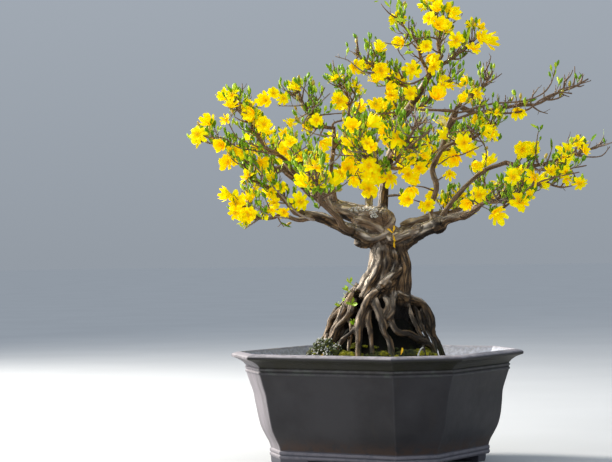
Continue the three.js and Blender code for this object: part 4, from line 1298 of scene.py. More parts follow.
def pot_profile():
    """Rows of inset, height, wear with painted sunlight on the rim top, and dust, from the underside
    over the rim to the inner floor.
    """
    rows = [(67, UNDERSIDE, 0, 0), (66.4, UNDERSIDE + 1, 0.2, 0)]
    rows += bead(66.4, UNDERSIDE + 1.5, -183.5, 1.5)
    rows += bead(66.6, -182.5, -175.5, 1.5)
    rows += eased([[67, -175], [64, -164.5], [56, -149], [48.5, -131], [41, -93], [37.5, -73],
                   [31.5, -54], [26, -35.4]], 22)
    rows += bead(25.6, -34.6, -29.4, 1.9, 0.1)
    rows += bead(25.4, -27.8, -22.6, 1.9, 0.16)
    rows += eased([[25, -21.8], [20, -16], [12, -10.6], [3.6, -7.2]], 8)
    rows += [(0.9, -6.2, 0, 0), (0.15, -4.8, 0, 0), (0.1, -2.4, 0.0, 0), (0.8, -0.9, 0.5, 0)]
    # the rim top's pale share is painted sunlight as much as wear
    rows += [(3, 0.6, 0.9, 0), (8, 2.1, 0.9, 0), (12.4, 3.2, 1, 0), (14.4, 3.3, 1, 0.1)]
    rows += [(16, 1.8, 0.8, 0.4)]
    rows += eased([[17, -1], [21, -10], [31, -24], [46, -56], [62, -131], [78, -163]], 12, 0, 1)
    rows += [(82, POT_FLOOR, 0, 1)]
    return rows


def layer_of(layers, name):
    return layers.get(name) or layers.new(name)


def loft(bm, rings, layers=()):
    """Skins rings of equal count, each given as places and values of the named layers."""
    column = layer_of(bm.verts.layers.int, "column")
    floats = {name: layer_of(bm.verts.layers.float, name) for name in layers}
    verts = bmesh.ops.create_circle(bm, segments=len(rings[0][0]))["verts"]
    for i, vert in enumerate(verts):
        vert[column] = i
    edges = list({edge for vert in verts for edge in vert.link_edges})
    bmesh.ops.contextual_create(bm, geom=edges)
    for order, (places, values) in enumerate(rings):
        if order:
            made = bmesh.ops.extrude_edge_only(bm, edges=edges)["geom"]
            verts = [item for item in made if isinstance(item, bmesh.types.BMVert)]
            fresh = set(verts)
            edges = [item for item in made if isinstance(item, bmesh.types.BMEdge)]
            edges = [edge for edge in edges if fresh.issuperset(edge.verts)]
        for vert in verts:
            vert.co = places[vert[column]]
            for name, layer in floats.items():
                vert[layer] = values[name][vert[column]]
    bmesh.ops.contextual_create(bm, geom=edges)


def build_pot(clay):
    bm = bmesh.new()
    for flip in [(1, 1), (-1, 1), (-1, -1), (1, -1)]:
        add_foot(bm, flip)
    rings = []
    for inset, height, wear_and_sunlight, dust in pot_profile():
        places, corner_wear, sunny = pot_outline(inset, ARRIS)
        ring, worn = [], []
        for place, corner in zip(places, corner_wear):
            x, y = turned(place)
            spot = Vector((x, y, height))
            uneven = noise.noise(spot / 55) + 0.4 * noise.noise(spot / 17)
            out = 1 + POT_UNEVEN * uneven / math.hypot(x, y)
            fuller = FULLER_SIDE * smoothstep(-55, -125, height) * smoothstep(90, 190, x) * (1 - dust)
            ring.append(Vector(set_down([x * out + fuller, y * out, height])))
            worn.append(max(wear_and_sunlight, 0.025 * corner * (1 - dust)))
        sunny = [value * (1 - dust) for value in sunny]
        rings.append((ring, {"wear_and_sunlight": worn, "dust": [dust] * len(ring), "painted_sunlight": sunny}))
    loft(bm, rings, ["wear_and_sunlight", "dust", "painted_sunlight"])
    bmesh_piece("pot_body", bm, [clay], ["pot"], SHARP_CREASE)


def add_foot(bm, flip):
    """A bracket foot under a cut corner, running on along both long faces."""
    first, second = pot_corner(0, BASE_INSET), pot_corner(1, BASE_INSET)
    inner = np.array([second[0], first[1]]) - FOOT_WRAP[::-1]
    outline = [np.array([first[0], inner[1]]), first, second, np.array([inner[0], second[1]]), inner]
    middle = np.mean(outline, axis=0)
    rings = []
    for inset, drop in FOOT_ROWS:
        level = [turned((place + unit(middle - place) * inset) * flip) for place in outline]
        rings.append(([Vector(set_down([x, y, UNDERSIDE + drop])) for x, y in level], {}))
    loft(bm, rings)


def bmesh_piece(name, bm, finishes, nodes, crease=180):
    mesh = bpy.data.meshes.new(name)
    bmesh.ops.recalc_face_normals(bm, faces=bm.faces)
    for face in bm.faces:
        face.smooth = True
    bm.to_mesh(mesh)
    bm.free()
    mesh.set_sharp_from_angle(angle=math.radians(crease))
    finished_piece(name, mesh, finishes, nodes)


# Soil and mound

BED_CELL = 3.2
BED_INSET = 25.5
BED_DEPTH = 12
BED_TAPER = 0.94                # the bed's underside is this much smaller


def mound_height(x, y):
    distance = math.hypot(x - MOUND_CENTRE[0], y - MOUND_CENTRE[1])
    radii, heights = zip(*MOUND)
    return float(np.interp(distance, radii, heights)), distance


def build_bed(earth):
    bm = bmesh.new()
    half = POT_HALF_WIDTH
    count = int(2 * half / BED_CELL)
    bmesh.ops.create_grid(bm, x_segments=count, y_segments=count, size=half)
    for face in range(POT_FACES):
        outward = Vector((*around(face * FACE_TURN), 0))
        edge = outward * (POT_HALVES[face % 4] - BED_INSET)
        geom = bm.verts[:] + bm.edges[:] + bm.faces[:]
        bmesh.ops.bisect_plane(bm, geom=geom, plane_co=edge, plane_no=outward, clear_outer=True)
    moss = bm.verts.layers.float.new("moss")
    dark = bm.verts.layers.float.new("dark")
    for vert in bm.verts:
        x, y = turned(vert.co)
        height, distance = mound_height(x, y)
        place = Vector((x, y, 0))
        lumps = noise.fractal(place / 16, 1.0, 2.0, 3)
        crumbs = noise.noise(place / 4.2)
        on_mound = float(smoothstep(132, 96, distance))
        level = max(height, SOIL_LEVEL) + lumps * (1.6 + 2.6 * on_mound) + crumbs * 0.8
        vert[moss] = float(smoothstep(-0.25, 0.35, lumps)) * on_mound
        # painted shade under the roots, deepest near the trunk
        vert[dark] = float(smoothstep(108, 84, distance)) * 0.97
        vert.co = Vector(set_down([x, y, level]))
    rim = [edge for edge in bm.edges if edge.is_boundary]
    grown = bmesh.ops.extrude_edge_only(bm, edges=rim)["geom"]
    floor = float(set_down([0, 0, SOIL_LEVEL - BED_DEPTH])[2])
    for vert in [item for item in grown if isinstance(item, bmesh.types.BMVert)]:
        x, y = (vert.co.xy - Vector(TREE_ORIGIN[:2])) * BED_TAPER + Vector(TREE_ORIGIN[:2])
        vert.co = (x, y, floor)
    bmesh.ops.contextual_create(bm, geom=[edge for edge in bm.edges if edge.is_boundary])
    bmesh_piece("soil_bed", bm, [earth], ["soil"])


# Bark: trunk, roots and boughs skinned as one

BARK_VOXEL = 2.4
BARK_KNOTS = KNOTS[:2] + [
    ([-6, -19, 236], [30, 14, 25]),
    ([16, -16, 246], [22, 15, 20]),
    ([-22, -14, 205], [20, 16, 13]),
    ([4, -12, 128], [24, 26, 30]),
    ([16, -50, 126], [12, 9, 11]),
]
SLIM_LIMBS = {"trunk_leader": 0.42, "bough_right_up": 0.6, "bough_right_mid": 0.65}
HOLLOW_DEPTH = 16               # the trunk's core lies this much further in behind the roots
# wood that faces this way gets painted sunlight
SUNNY_SIDE = unit(np.array([-0.9, -0.4, 0.35]))
# The boxes in which painted sunlight lightens the upper side of the wood right round to the front
SUNNY_LIMBS = np.array([
    [[20, -90, 194], [108, 40, 262]],
    [[-34, -90, 198], [40, -22, 238]],
    [[-96, -90, 246], [-10, 40, 300]],
], float)
SUNNY_BORDER = 14
# The relief of the bark on wood of full girth, in mm
ROPE_RISE = 2.2
LUMP_RISE = 2.2
GROOVE_DEPTH = 3.2
SCALE_DEPTH = 1.8
FULL_GIRTH = 20
GRAIN_SQUEEZE = 0.13            # the relief is drawn out this much along a limb
GRAIN_APART = 300               # the grain of each limb starts this much further on
BARK_SAMPLES = 4                # space between the samples along a limb
NEAREST_SAMPLES = 6             # of these the one whose surface is nearest gives the grain
# How far out the roots reach at each height, in front of the hollows among them
ROOT_HEIGHTS = [SOIL_LEVEL, 40, 100, 130]
ROOT_REACHES = [116, 88, 56, 40]


def lean_in(height):
    """How far the bark's trunk stands to the right of the plain one, most at its waist."""
    return 7 * math.exp(-((height - 165) / 55) ** 2)


def bark_trunk():
    points = trunk_route.points(np.linspace(0, 1, 9))
    return Route([point + np.array([lean_in(point[2]), 0, 0]) for point in points])


def core_radius(along, turn=None):
    """The trunk's core, drawn in behind its roots and rounded off at the crotch."""
    drawn_in = HOLLOW_DEPTH * smoothstep(0.5, 0.2, along)
    dome = np.sqrt(np.maximum(0.15, 1 - np.maximum(0, (along - 0.80) / 0.16) ** 2))
    return (trunk_radius(along, turn) - drawn_in) * dome


def front_root(places, out):
    """A root through places seen from the front, laid on the flare of the trunk's foot."""
    heights, radii = zip(*FLARE)
    points = []
    for order, (x, z) in enumerate(places):
        across = x - MOUND_CENTRE[0]
        radius = float(np.interp(z, heights, radii)) * out * (1 if order else SUNK_TOP)
        points.append([x, -math.sqrt(max(radius * radius - across * across, 9)), z])
    return Route(points)


def ridge_route(order, chance):
    """A rope of bark, half sunk in the trunk's side."""
    turn = math.tau * order / RIDGES
    twist = chance.between(-0.5, 0.5)
    points = []
    for share in np.linspace(0, 1, 5):
        height = RIDGE_HEIGHTS[0] + (RIDGE_HEIGHTS[1] - RIDGE_HEIGHTS[0]) * share
        along = up_trunk(height)
        bearing = turn + twist * share + chance.between(-0.1, 0.1)
        out = core_radius(along) + chance.between(-5.5, -1)
        axis = trunk_route.at(along) + np.array([lean_in(height), 0, 0])
        points.append([axis[0] + out * math.cos(bearing), axis[1] + out * math.sin(bearing), height])
    return Route(points)


def fine_root_rows(chance):
    """Thinner roots for the sides and the back."""
    rows = []
    for i in range(FINE_ROOTS):
        top = 20 + i * 200 / FINE_ROOTS + chance.between(-5, 5)
        height = chance.between(38, 104)
        thick = chance.between(4.5, 7.5)
        foot = top + chance.between(-22, 22)
        reach, shoulder = chance.between(92, 122), chance.between(0.6, 1.2)
        rows.append([top, height, foot, reach, shoulder, thick, thick * 0.6])
    return rows


def wood_limbs():
    """Every limb of the bark's mesh: its route, its radius and the steps of its tube."""
    wood = [(bark_trunk(), core_radius, 20, 24)]
    chance = Chance(ROOT_SEED + 1)
    detail = Chance(DETAIL_SEED)
    roots = [(root_route(row, chance), *row[5:]) for row in ROOTS]
    roots = [roots[order] for order in RULE_ROOTS]
    roots += [(root_route(row, detail, 12, 7), *row[5:]) for row in fine_root_rows(detail)]
    roots += [(front_root(places, out), thick, thin) for thick, thin, out, *places in FRONT_ROOTS]
    roots += [(ridge_route(order, detail), 6.5, 5) for order in range(RIDGES)]
    roots += [(Route(places), thick, thin) for thick, thin, *places in SADDLES]
    for route, thick, thin in roots:
        wood.append((route, knobbly(thick, thin, detail.between(0, 6)), 10, 24))
    for name, limb in limbs.items():
        if name != "trunk":
            steps = max(8, int(limb.route.length / 9))
            slim = SLIM_LIMBS.get(name, 1.0)
            wood.append((limb.route, gnarled(limb, slim, detail.between(0, 6)), 12, steps))
    return wood


def gnarled(limb, slim, phase):
    def radius_at(along, turn):
        girth = slim + (1 - slim) * along
        swell = 0.05 * np.sin(17 * along + phase) + 0.035 * np.sin(41 * along + 2 * phase)
        return limb.radius_at(along) * girth * (1 + swell)
    return radius_at


def knobbly(thick, thin, phase):
    def radius_at(along, turn):
        swell = 1 + 0.10 * np.sin(9 * along + phase) + 0.07 * np.sin(23 * along + 2 * phase)
        return (thick + (thin - thick) * along) * swell * (0.5 + 0.5 * smoothstep(0, 0.16, along))
    return radius_at


def build_bark(bark):
    wood = wood_limbs()
    spray = Spray()
    for rod_of_wood in wood:
        spray.add_rod(*rod_of_wood)
    balls = BARK_KNOTS[:]
    for name, limb in limbs.items():
        if name != "trunk":
            balls.append((limb.route.at(1), [max(limb.knot, float(limb.radius_at(1)) * 1.04)] * 3))
    for place, size in balls:
        bm = bmesh.new()
        bmesh.ops.create_icosphere(bm, subdivisions=3, radius=1)
        shape = Shape(bm)
        spray.add(shape.points * size + place, shape.faces)
    mesh = mesh_of("bark_rough", np.vstack(spray.points) * MM, np.vstack(spray.faces))
    rough = new_object("bark_rough", mesh)
    remesh = rough.modifiers.new("skin", "REMESH")
    remesh.mode, remesh.voxel_size = "VOXEL", BARK_VOXEL * MM
    skinned = rough.evaluated_get(bpy.context.evaluated_depsgraph_get())
    skin = bpy.data.meshes.new_from_object(skinned)
    bpy.data.objects.remove(rough)
    skin.name = "bark"
    carve_bark(skin, wood)
    skin.polygons.foreach_set("use_smooth", np.ones(len(skin.polygons), bool))
    finished_piece("bark", skin, [bark], WOOD_NODES)


def array_of(items, attribute, width):
    values = np.empty(len(items) * width, np.float32)
    items.foreach_get(attribute, values)
    return values.reshape(-1, width).astype(float)


def relief(local, point, strength):
    """How far the bark stands out at a place, and how much it is a ridge there."""
    rope = noise.noise(local / 11)
    lump = noise.noise(Vector(point) / 19)
    small = noise.noise(local / 3.0)
    fissure = abs(noise.noise(local / 7 + Vector((7, 3, 1))))
    scale = abs(noise.noise(Vector((local.x, local.y, local.z * 3)) / 8 + Vector((2, 9, 4))))
    groove = max(0.0, 1 - fissure / 0.15)
    rise = strength * (ROPE_RISE * rope + LUMP_RISE * lump - GROOVE_DEPTH * groove)
    rise += (0.4 + 0.8 * strength) * small
    rise -= SCALE_DEPTH * strength * max(0.0, 1 - scale / 0.1)
    return rise, 0.55 + 0.6 * (rope + 0.7 * small) - 0.6 * groove * strength


def weathering(point, normal, radius):
    """How deep the painted shade in the hollows is, how pale the painted sunlight makes the wood, how
    young it is, and how deep the painted shade low on the roots is, at a place.
    """
    x, y, z = point
    depth = np.interp(z, ROOT_HEIGHTS, ROOT_REACHES) - math.hypot(x - MOUND_CENTRE[0], y)
    # painted shade deep in the hollows among the roots
    hollow_shade = smoothstep(3, 17, depth) * smoothstep(122, 96, z)
    sunny = smoothstep(0.5, 0.95, normal @ SUNNY_SIDE) * (0.35 + 0.6 * smoothstep(80, 130, z))
    upper = smoothstep(0.15, 0.75, normal[2]) * smoothstep(40, 150, z)
    for low, high in SUNNY_LIMBS:
        within = smoothstep(low, low + SUNNY_BORDER, point)
        within = np.prod(within * smoothstep(high, high - SUNNY_BORDER, point))
        upper = max(upper, within * smoothstep(-0.7, 0.15, normal[2]))
    young = smoothstep(10, 4.5, radius) * smoothstep(180, 240, z)
    # painted shade low on the roots, deeper towards the right
    painted_root_shade = 0.7 * smoothstep(112, 55, z) * (0.3 + 0.7 * smoothstep(-40, 60, x))
    return hollow_shade, max(upper, sunny), young, painted_root_shade


def carve_bark(skin, wood):
    """Cuts the grain's relief into the skin and stores what the finish reads."""
    samples = []
    for order, (route, radius_at, sides, steps) in enumerate(wood):
        count = max(8, int(route.length / BARK_SAMPLES))
        middles, ahead, normals, binormals = route.frames(count)
        radii = np.broadcast_to(radius_at(np.linspace(0, 1, count + 1), 0.0), count + 1)
        runs = np.linspace(0, route.length, count + 1) + GRAIN_APART * order
        samples += zip(middles, normals, binormals, radii, runs, ahead)
    tree = kdtree.KDTree(len(samples))
    for i, sample in enumerate(samples):
        tree.insert(sample[0], i)
    tree.balance()
    points = array_of(skin.vertices, "co", 3) / MM
    normals = array_of(skin.vertices, "normal", 3)
    moved, grain, layers = [], [], []
    for point, normal in zip(points, normals):
        near = tree.find_n(point, NEAREST_SAMPLES)
        best = min(near, key=lambda hit: hit[2] - samples[hit[1]][3])
        middle, side, other, radius, run, ahead = samples[best[1]]
        offset = point - middle
        local = Vector((offset @ side, offset @ other, (run + offset @ ahead) * GRAIN_SQUEEZE))
        rise, ridge = relief(local, point, min(1.0, radius / FULL_GIRTH))
        moved.append(point + normal * rise)
        grain.append(np.array(local) * MM)
        layers.append([ridge, *weathering(point, normal, radius)])
    skin.vertices.foreach_set("co", set_down(moved).astype(np.float32).ravel())
    for name, values in zip(BARK_LAYERS, np.clip(layers, 0, 1).T):
        store(skin, name, values)
    store(skin, "grain", np.array(grain))
    skin.update()


# Twigs, blossom, buds and leaves

# A form of flower: outer petals, inner petals, petal length, petal width, lift and droop
FLOWER_FORMS = [
    (8, 5, 23.0, 10.5, 8, 4),
    (7, 5, 23.5, 11.5, 14, 2),
    (9, 4, 22.5, 9.6, 6, 7),
    (7, 5, 21.5, 11.5, 20, 0),
    (8, 6, 24.0, 10.5, 4, 9),
    (6, 5, 22.0, 12.5, 25, 2),
]
PETAL_TONES = 3                 # finishes of a flower, from the tips of its petals inwards
WARM, THROAT = 0.6, 0.3         # shares of a petal's length within which the inner tones lie
DEEP_FLOWERS = 0.3              # share of the flowers in the deeper tones
GREEN, PALE, TINTED, DRIED = range(4)
TINTED_BUDS = 0.10              # share of the buds, and of the tinted and the pale ones together
PALE_BUDS = 0.38
STAMENS = 11
# Widths of a petal and a leaf at even steps from the foot to the tip
PETAL_WIDTHS = [0.22, 0.80, 1.0, 0.60]
LEAF_WIDTHS = [0.12, 0.72, 1.0, 0.7, 0.05]


def taper(thick, thin, phase=0.0):
    def radius_at(along, turn):
        return (thick + (thin - thick) * along) * (1 + 0.14 * np.sin(31 * along + phase))
    return radius_at


def build_twigs(finishes):
    spray = Spray()
    chance = Chance(DETAIL_SEED + 1)
    for mass in masses:
        steps = max(6, int(mass.stem.length / 12))
        radius_at = taper(mass.thick, TWIG_THIN, mass.order)
        points, faces = bent_rod(mass.stem, radius_at, 7, steps, 3.0 if mass.joins_tip else 0.0)
        along = np.clip(away(points, mass.stem.at(0)) / mass.stem.length, 0, 1)
        girth = mass.thick + (TWIG_THIN - mass.thick) * along
        spray.add(points, faces, 0, smoothstep(7, 4, girth))
        # Each kind of twig: its ends' radii, its sides and steps, and how many of them are grey
        rods = [(route, TWIG_THICK, TWIG_THIN * 0.8, 5, 6, 0.25) for route in mass.twigs]
        for route, thick in mass.shown:
            rods.append((route, thick, 0.45 * thick, 5, max(4, int(route.length / 8)), 0.2))
        rods += [(route, SPUR_THICK, SPUR_THIN, 4, 4, 0.35) for route in mass.spurs]
        rods += [(route, SPRIG_THICK, SPRIG_THIN, 3, 2, 0.3) for route in mass.sprigs]
        for route, thick, thin, sides, steps, grey_share in rods:
            phase = chance() * 6 if sides == 5 else 0.0
            spray.add_rod(route, taper(thick, thin, phase), sides, steps, int(chance() < grey_share))
    spray.piece("twigs", finishes, "bark", BLOSSOM_NODES)


def turn_about(bm, verts, angle, axis):
    bmesh.ops.rotate(bm, verts=verts, cent=(0, 0, 0), matrix=Matrix.Rotation(angle, 3, axis))


def add_cone(bm, sides, foot, tip, tall, lift, caps=True):
    """A cone round the Z axis, its middle lifted so far."""
    made = bmesh.ops.create_cone(
        bm, cap_ends=caps, segments=sides, radius1=foot, radius2=tip, depth=tall)["verts"]
    bmesh.ops.translate(bm, verts=made, vec=(0, 0, lift))
    return made


def add_petal(bm, turn, length, width, lift, droop, throat, chance):
    """One petal: a narrow claw that widens to a rounded, notched and rippled tip."""
    made = bmesh.ops.create_grid(bm, x_segments=2, y_segments=3, size=1)["verts"]
    for vert in made:
        aside, along = vert.co.x, (vert.co.y + 1) / 2
        row = round(along * 3)
        reach = throat + (length - throat) * along
        if row == 3:
            reach -= length * (0.10 if abs(aside) > 0.5 else 0.05)
        edge = 0.9 * aside * math.sin(5 * along + turn * 3) + 1.4 * aside * aside * (1 - along)
        rise = lift * along - droop * along * along + edge
        ragged = 0.32 * row
        reach += ragged * chance.between(-1, 1)
        rise += ragged * chance.between(-1.4, 1.4)
        across = aside * PETAL_WIDTHS[row] * width / 2
        vert.co = Vector((across + ragged * chance.between(-1, 1), reach, rise))
    turn_about(bm, made, turn, "Z")
    for face in {face for vert in made for face in vert.link_faces}:
        middle = face.calc_center_median()
        share = math.hypot(middle.x, middle.y) / length
        face.material_index = 2 if share < THROAT else int(share < WARM)


@cache
def flower_shape(form):
    outer, inner, length, width, lift, droop = FLOWER_FORMS[form]
    chance = Chance(DETAIL_SEED + 20 + form)
    bm = bmesh.new()
    for i in range(outer):
        turn = math.tau * i / outer + chance.between(-0.14, 0.14)
        reach = length * chance.between(0.78, 1.0)
        broad = width * chance.between(0.8, 1.15)
        rise, sag = lift + chance.between(-5, 5), droop + chance.between(-2, 2)
        add_petal(bm, turn, reach, broad, rise, sag, 2.0, chance)
    for i in range(inner):
        turn = math.tau * (i + 0.5) / inner + chance.between(-0.2, 0.2)
        reach = length * chance.between(0.58, 0.74)
        rise = lift + 6 + chance.between(-2, 4)
        add_petal(bm, turn, reach, width * 0.82, rise, droop * 0.5, 1.6, chance)
    return Shape(bm, upright=True)


@cache
def stamen_shape():
    """The bunch of stamens round a small boss in the middle of a flower."""
    chance = Chance(DETAIL_SEED + 40)
    bm = bmesh.new()
    for i in range(STAMENS):
        made = add_cone(bm, 3, 0.25, 0.62, 6.5, 3.6)
        turn_about(bm, made, chance.between(0.25, 0.75), "X")
        turn_about(bm, made, math.tau * i / STAMENS, "Z")
    add_cone(bm, 6, 2.2, 0.7, 3, 1.8)
    return Shape(bm, upright=True)


@cache
def calyx_shape():
    """Five green sepals on a short stalk behind a flower."""
    bm = bmesh.new()
    for vert in add_cone(bm, 10, 1.0, 5.2, 3, -0.4, caps=False):
        turn = math.atan2(vert.co.y, vert.co.x)
        if vert.co.z > 0 and math.cos(5 * turn) < 0:
            vert.co = Vector((vert.co.x * 0.45, vert.co.y * 0.45, vert.co.z - 0.6))
    add_cone(bm, 4, 0.7, 1.0, 7, -5)
    return Shape(bm, upright=True)


@cache
def bud_shape(plump):
    """A pointed bud on its stalk, standing on the origin."""
    bm = bmesh.new()
    length, stalk = 10.5, 5.0
    for vert in bmesh.ops.create_uvsphere(bm, u_segments=5, v_segments=5, radius=1)["verts"]:
        share = (vert.co.z + 1) / 2
        slim = 1.0 - 0.35 * share * share
        vert.co = Vector((vert.co.x * plump * slim, vert.co.y * plump * slim, stalk + share * length))
    add_cone(bm, 3, 0.55, 0.8, stalk + 1, (stalk + 1) / 2, caps=False)
    return Shape(bm, upright=True)


@cache
def leaf_shape(broad=2.8, length=LEAF_LENGTH):
    """A narrow leaf folded along its midrib."""
    bm = bmesh.new()
    for vert in bmesh.ops.create_grid(bm, x_segments=2, y_segments=4, size=1)["verts"]:
        aside, along = vert.co.x, (vert.co.y + 1) / 2
        half = LEAF_WIDTHS[round(along * 4)] * broad
        fold = abs(aside) * half * 0.35
        vert.co = Vector((aside * half, -0.18 * length * along * along, fold + length * along))
    return Shape(bm, upright=True)


def dried_depth():
    """The depth at the end of the shown twig that the dried leaves hang from."""
    x, z = SHOWN_TWIGS[DRIED_TWIG][-1]
    ends = np.array([route.at(1) for mass in masses for route, thick in mass.shown])
    seen = np.array([sighted([x, z], end[1]) for end in ends])
    return ends[away(ends[:, [0, 2]], seen).argmin()][1]


def build_blossom(petal_finishes, stamen_finishes, green_finishes):
    petals, stamens, greens = Spray(), Spray(), Spray()
    chance = Chance(DETAIL_SEED + 2)
    for mass in masses:
        for origin, turn, size in mass.flowers:
            form = int(chance() * len(FLOWER_FORMS))
            tone = PETAL_TONES if chance() < DEEP_FLOWERS else 0
            petals.add_shape(flower_shape(form), origin, turn, size, tone)
            stamens.add_shape(stamen_shape(), origin, turn, size)
            greens.add_shape(calyx_shape(), origin, turn, size)
    for mass in masses:
        for origin, facing in mass.buds:
            if in_the_open(origin) and chance() > OPEN_BUDS:
                continue
            shape = bud_shape(round(chance.between(2.2, 2.9), 1))
            draw = chance()
            tone = TINTED if draw < TINTED_BUDS else PALE if draw < PALE_BUDS else GREEN
            turn = facing_turn(facing, chance() * 6)
            greens.add_shape(shape, origin, turn, chance.between(0.85, 1.3), tone)
        for origin, facing in mass.leaves:
            if not in_the_open(origin):
                turn = facing_turn(facing, chance() * 6)
                size = chance.between(0.7, 1.25)
                greens.add_shape(leaf_shape(), origin, turn, size, PALE if chance() < 0.5 else GREEN)
    for x, z, aside, up in SHOWN_LEAVES:
        turn = facing_turn(unit(np.array([aside, -4, up])), chance() * 6)
        place = np.array([x, SHOWN_LEAF_DEPTH, z])
        greens.add_shape(leaf_shape(), place, turn, math.hypot(aside, up) / LEAF_LENGTH, PALE)
    depth = dried_depth()
    for x, z, aside, up in DRIED_LEAVES:
        x, z = sighted([x, z], depth)
        spin = chance.between(-0.4, 0.4) - math.atan2(aside, -up)
        turn = facing_turn(unit(np.array([aside, -4, up])), spin)
        place = np.array([x, depth - DRIED_AHEAD, z])
        greens.add_shape(leaf_shape(3.6), place, turn, math.hypot(aside, up) / LEAF_LENGTH, DRIED)
    petals.piece("petals", petal_finishes, "blossom", BLOSSOM_NODES)
    stamens.piece("stamens", stamen_finishes, "blossom", BLOSSOM_NODES)
    greens.piece("buds_and_leaves", green_finishes, "blossom", BLOSSOM_NODES)


# Moss, lichen and fallen petals

MOSS_CUSHIONS = [
    [-62, -84, 2, 13], [-50, -92, 0, 11], [-72, -74, 1, 10], [-36, -100, -4, 9], [-12, -104, -4, 8],
    [4, -104, -3, 9], [24, -100, -2, 10], [40, -94, 0, 12], [56, -86, 2, 13], [70, -76, 2, 12],
    [84, -64, 0, 11], [96, -50, -3, 10], [-22, -96, -2, 9],
]
MOSS, LICHEN, SPROUT, PALE_LICHEN, DARK_MOSS = range(5)
TUFT_TONES = [PALE_LICHEN, LICHEN, LICHEN, MOSS, PALE_LICHEN]
SCATTERED_CUSHIONS = 60
LIGHT_CUSHIONS = 0.55           # share of the cushions that are light green
LICHEN_TUFTS = 620
BOUGH_LICHEN = 150
# The two patches of lichen at the crotch, their middles and spreads, and the first one's share
BOUGH_PATCHES = [([-4, -31, 259], [7, 4, 10]), ([-24, -20, 266], [26, 9, 4])]
FIRST_PATCH = 0.45
LICHEN_HEAP = [
    [-121, -48, -6, 9], [-116, -62, 2, 11], [-110, -70, 10, 12], [-104, -60, 18, 11], [-98, -76, 6, 13],
    [-92, -66, 18, 11], [-84, -82, 4, 12], [-76, -78, 12, 9], [-112, -80, -6, 11], [-94, -90, -6, 11],
    [-122, -34, -4, 9],
]
SPROUTS = [[-49, 128], [-53, 114], [-55, 100], [-66, 87], [-47, 89], [-42, 54]]
FALLEN_PETALS = 26
HANGING = 80                    # degrees that the shown ones hang down
# Wilted petals: their places and how far each leans aside
SHOWN_FALLEN = [
    [-114, -100, -5, 70], [38, -112, -2, 20], [31, -50, 219, -45], [30, -50, 220, 12],
    [30, -50, 219, 165], [32, -50, 208, 178],
]


@cache
def crumb_shape(form, subdivisions):
    """A lumpy pad of moss or lichen."""
    bm = bmesh.new()
    bmesh.ops.create_icosphere(bm, subdivisions=subdivisions, radius=1)
    for vert in bm.verts:
        place = vert.co * 1.7 + Vector((9 * form, 0, 0))
        vert.co *= 1 + 0.5 * noise.noise(place) + 0.3 * noise.noise(place * 3.1)
    return Shape(bm)


@cache
def fallen_petal_shape(width=14.0, curl=4.0):
    bm = bmesh.new()
    add_petal(bm, 0.0, 21.0, width, 2.5, curl, 2.0, Chance(DETAIL_SEED + 5))
    return Shape(bm)


def turned_about_up(turn, squash=1.0):
    return np.array(Matrix.Rotation(turn, 3, "Z")) * np.array([1, 1, squash])


def build_moss(finishes):
    spray = Spray()
    chance = Chance(DETAIL_SEED + 3)

    def crumb(subdivisions):
        return crumb_shape(int(chance() * 4), subdivisions)

    cushions = MOSS_CUSHIONS[:]
    for i in range(SCATTERED_CUSHIONS):
        turn, distance = chance() * math.tau, chance.between(84, 116)
        x, y = around(turn) * distance + MOUND_CENTRE
        size = chance.between(4, 11)
        cushions.append([x, y, mound_height(x, y)[0] + size * 0.1, size])
    for x, y, z, size in cushions:
        shape = crumb(3)
        place, turn = np.array([x, y, z - size * 0.15]), turned_about_up(chance() * 6, 0.5)
        tone = MOSS if chance() < LIGHT_CUSHIONS else DARK_MOSS
        spray.add_shape(shape, place, turn, size * 1.15, tone)
    for x, y, z, size in LICHEN_HEAP:
        shape = crumb(3)
        turn = turned_about_up(chance() * 6, 0.9)
        spray.add_shape(shape, np.array([x, y, z]), turn, size, DARK_MOSS)
    for i in range(LICHEN_TUFTS):
        *middle, size = LICHEN_HEAP[int(chance() * len(LICHEN_HEAP))]
        out = unit(chance.direction() + np.array([0, -0.5, 0.4]))
        shape = crumb(1)
        place = np.array(middle) + out * size * chance.between(0.8, 1.15)
        turn, size = turned_about_up(chance() * 6), chance.between(0.7, 2.0)
        spray.add_shape(shape, place, turn, size, TUFT_TONES[int(chance() * 5)])
    for i in range(BOUGH_LICHEN):
        middle, spread = BOUGH_PATCHES[0 if chance() < FIRST_PATCH else 1]
        place = np.array(middle) + chance.direction() * spread
        shape = crumb(1)
        turn, size = turned_about_up(chance() * 6), chance.between(0.7, 1.9)
        spray.add_shape(shape, place, turn, size, PALE_LICHEN)
    stick = Route([[71, -106, -8], [71, -104, -1], [75, -102, 8], [80, -100, 12]])
    spray.add_rod(stick, lambda along, turn: 2.2 - along, 6, 6, PALE_LICHEN)
    for x, z in SPROUTS:
        wood = front_root([[x + 9, z - 6], [x + 9, z - 7]], 1.0).at(0)
        place = np.array([x, wood[1] - 5, z])
        stalk = Route([wood, (wood + place) / 2 + [0, -3, 0], place])
        spray.add_rod(stalk, lambda along, turn: 0.8, 4, 3, SPROUT)
        for leaf in range(3):
            facing = unit(np.array([-0.4, -0.5, 0.7]) + chance.direction() * 0.9)
            turn = facing_turn(facing, chance() * 6)
            spray.add_shape(leaf_shape(3.6, 14), place, turn, chance.between(0.75, 1.2), SPROUT)
    spray.piece("moss_and_lichen", finishes, "earth", ["soil", "trunk"])


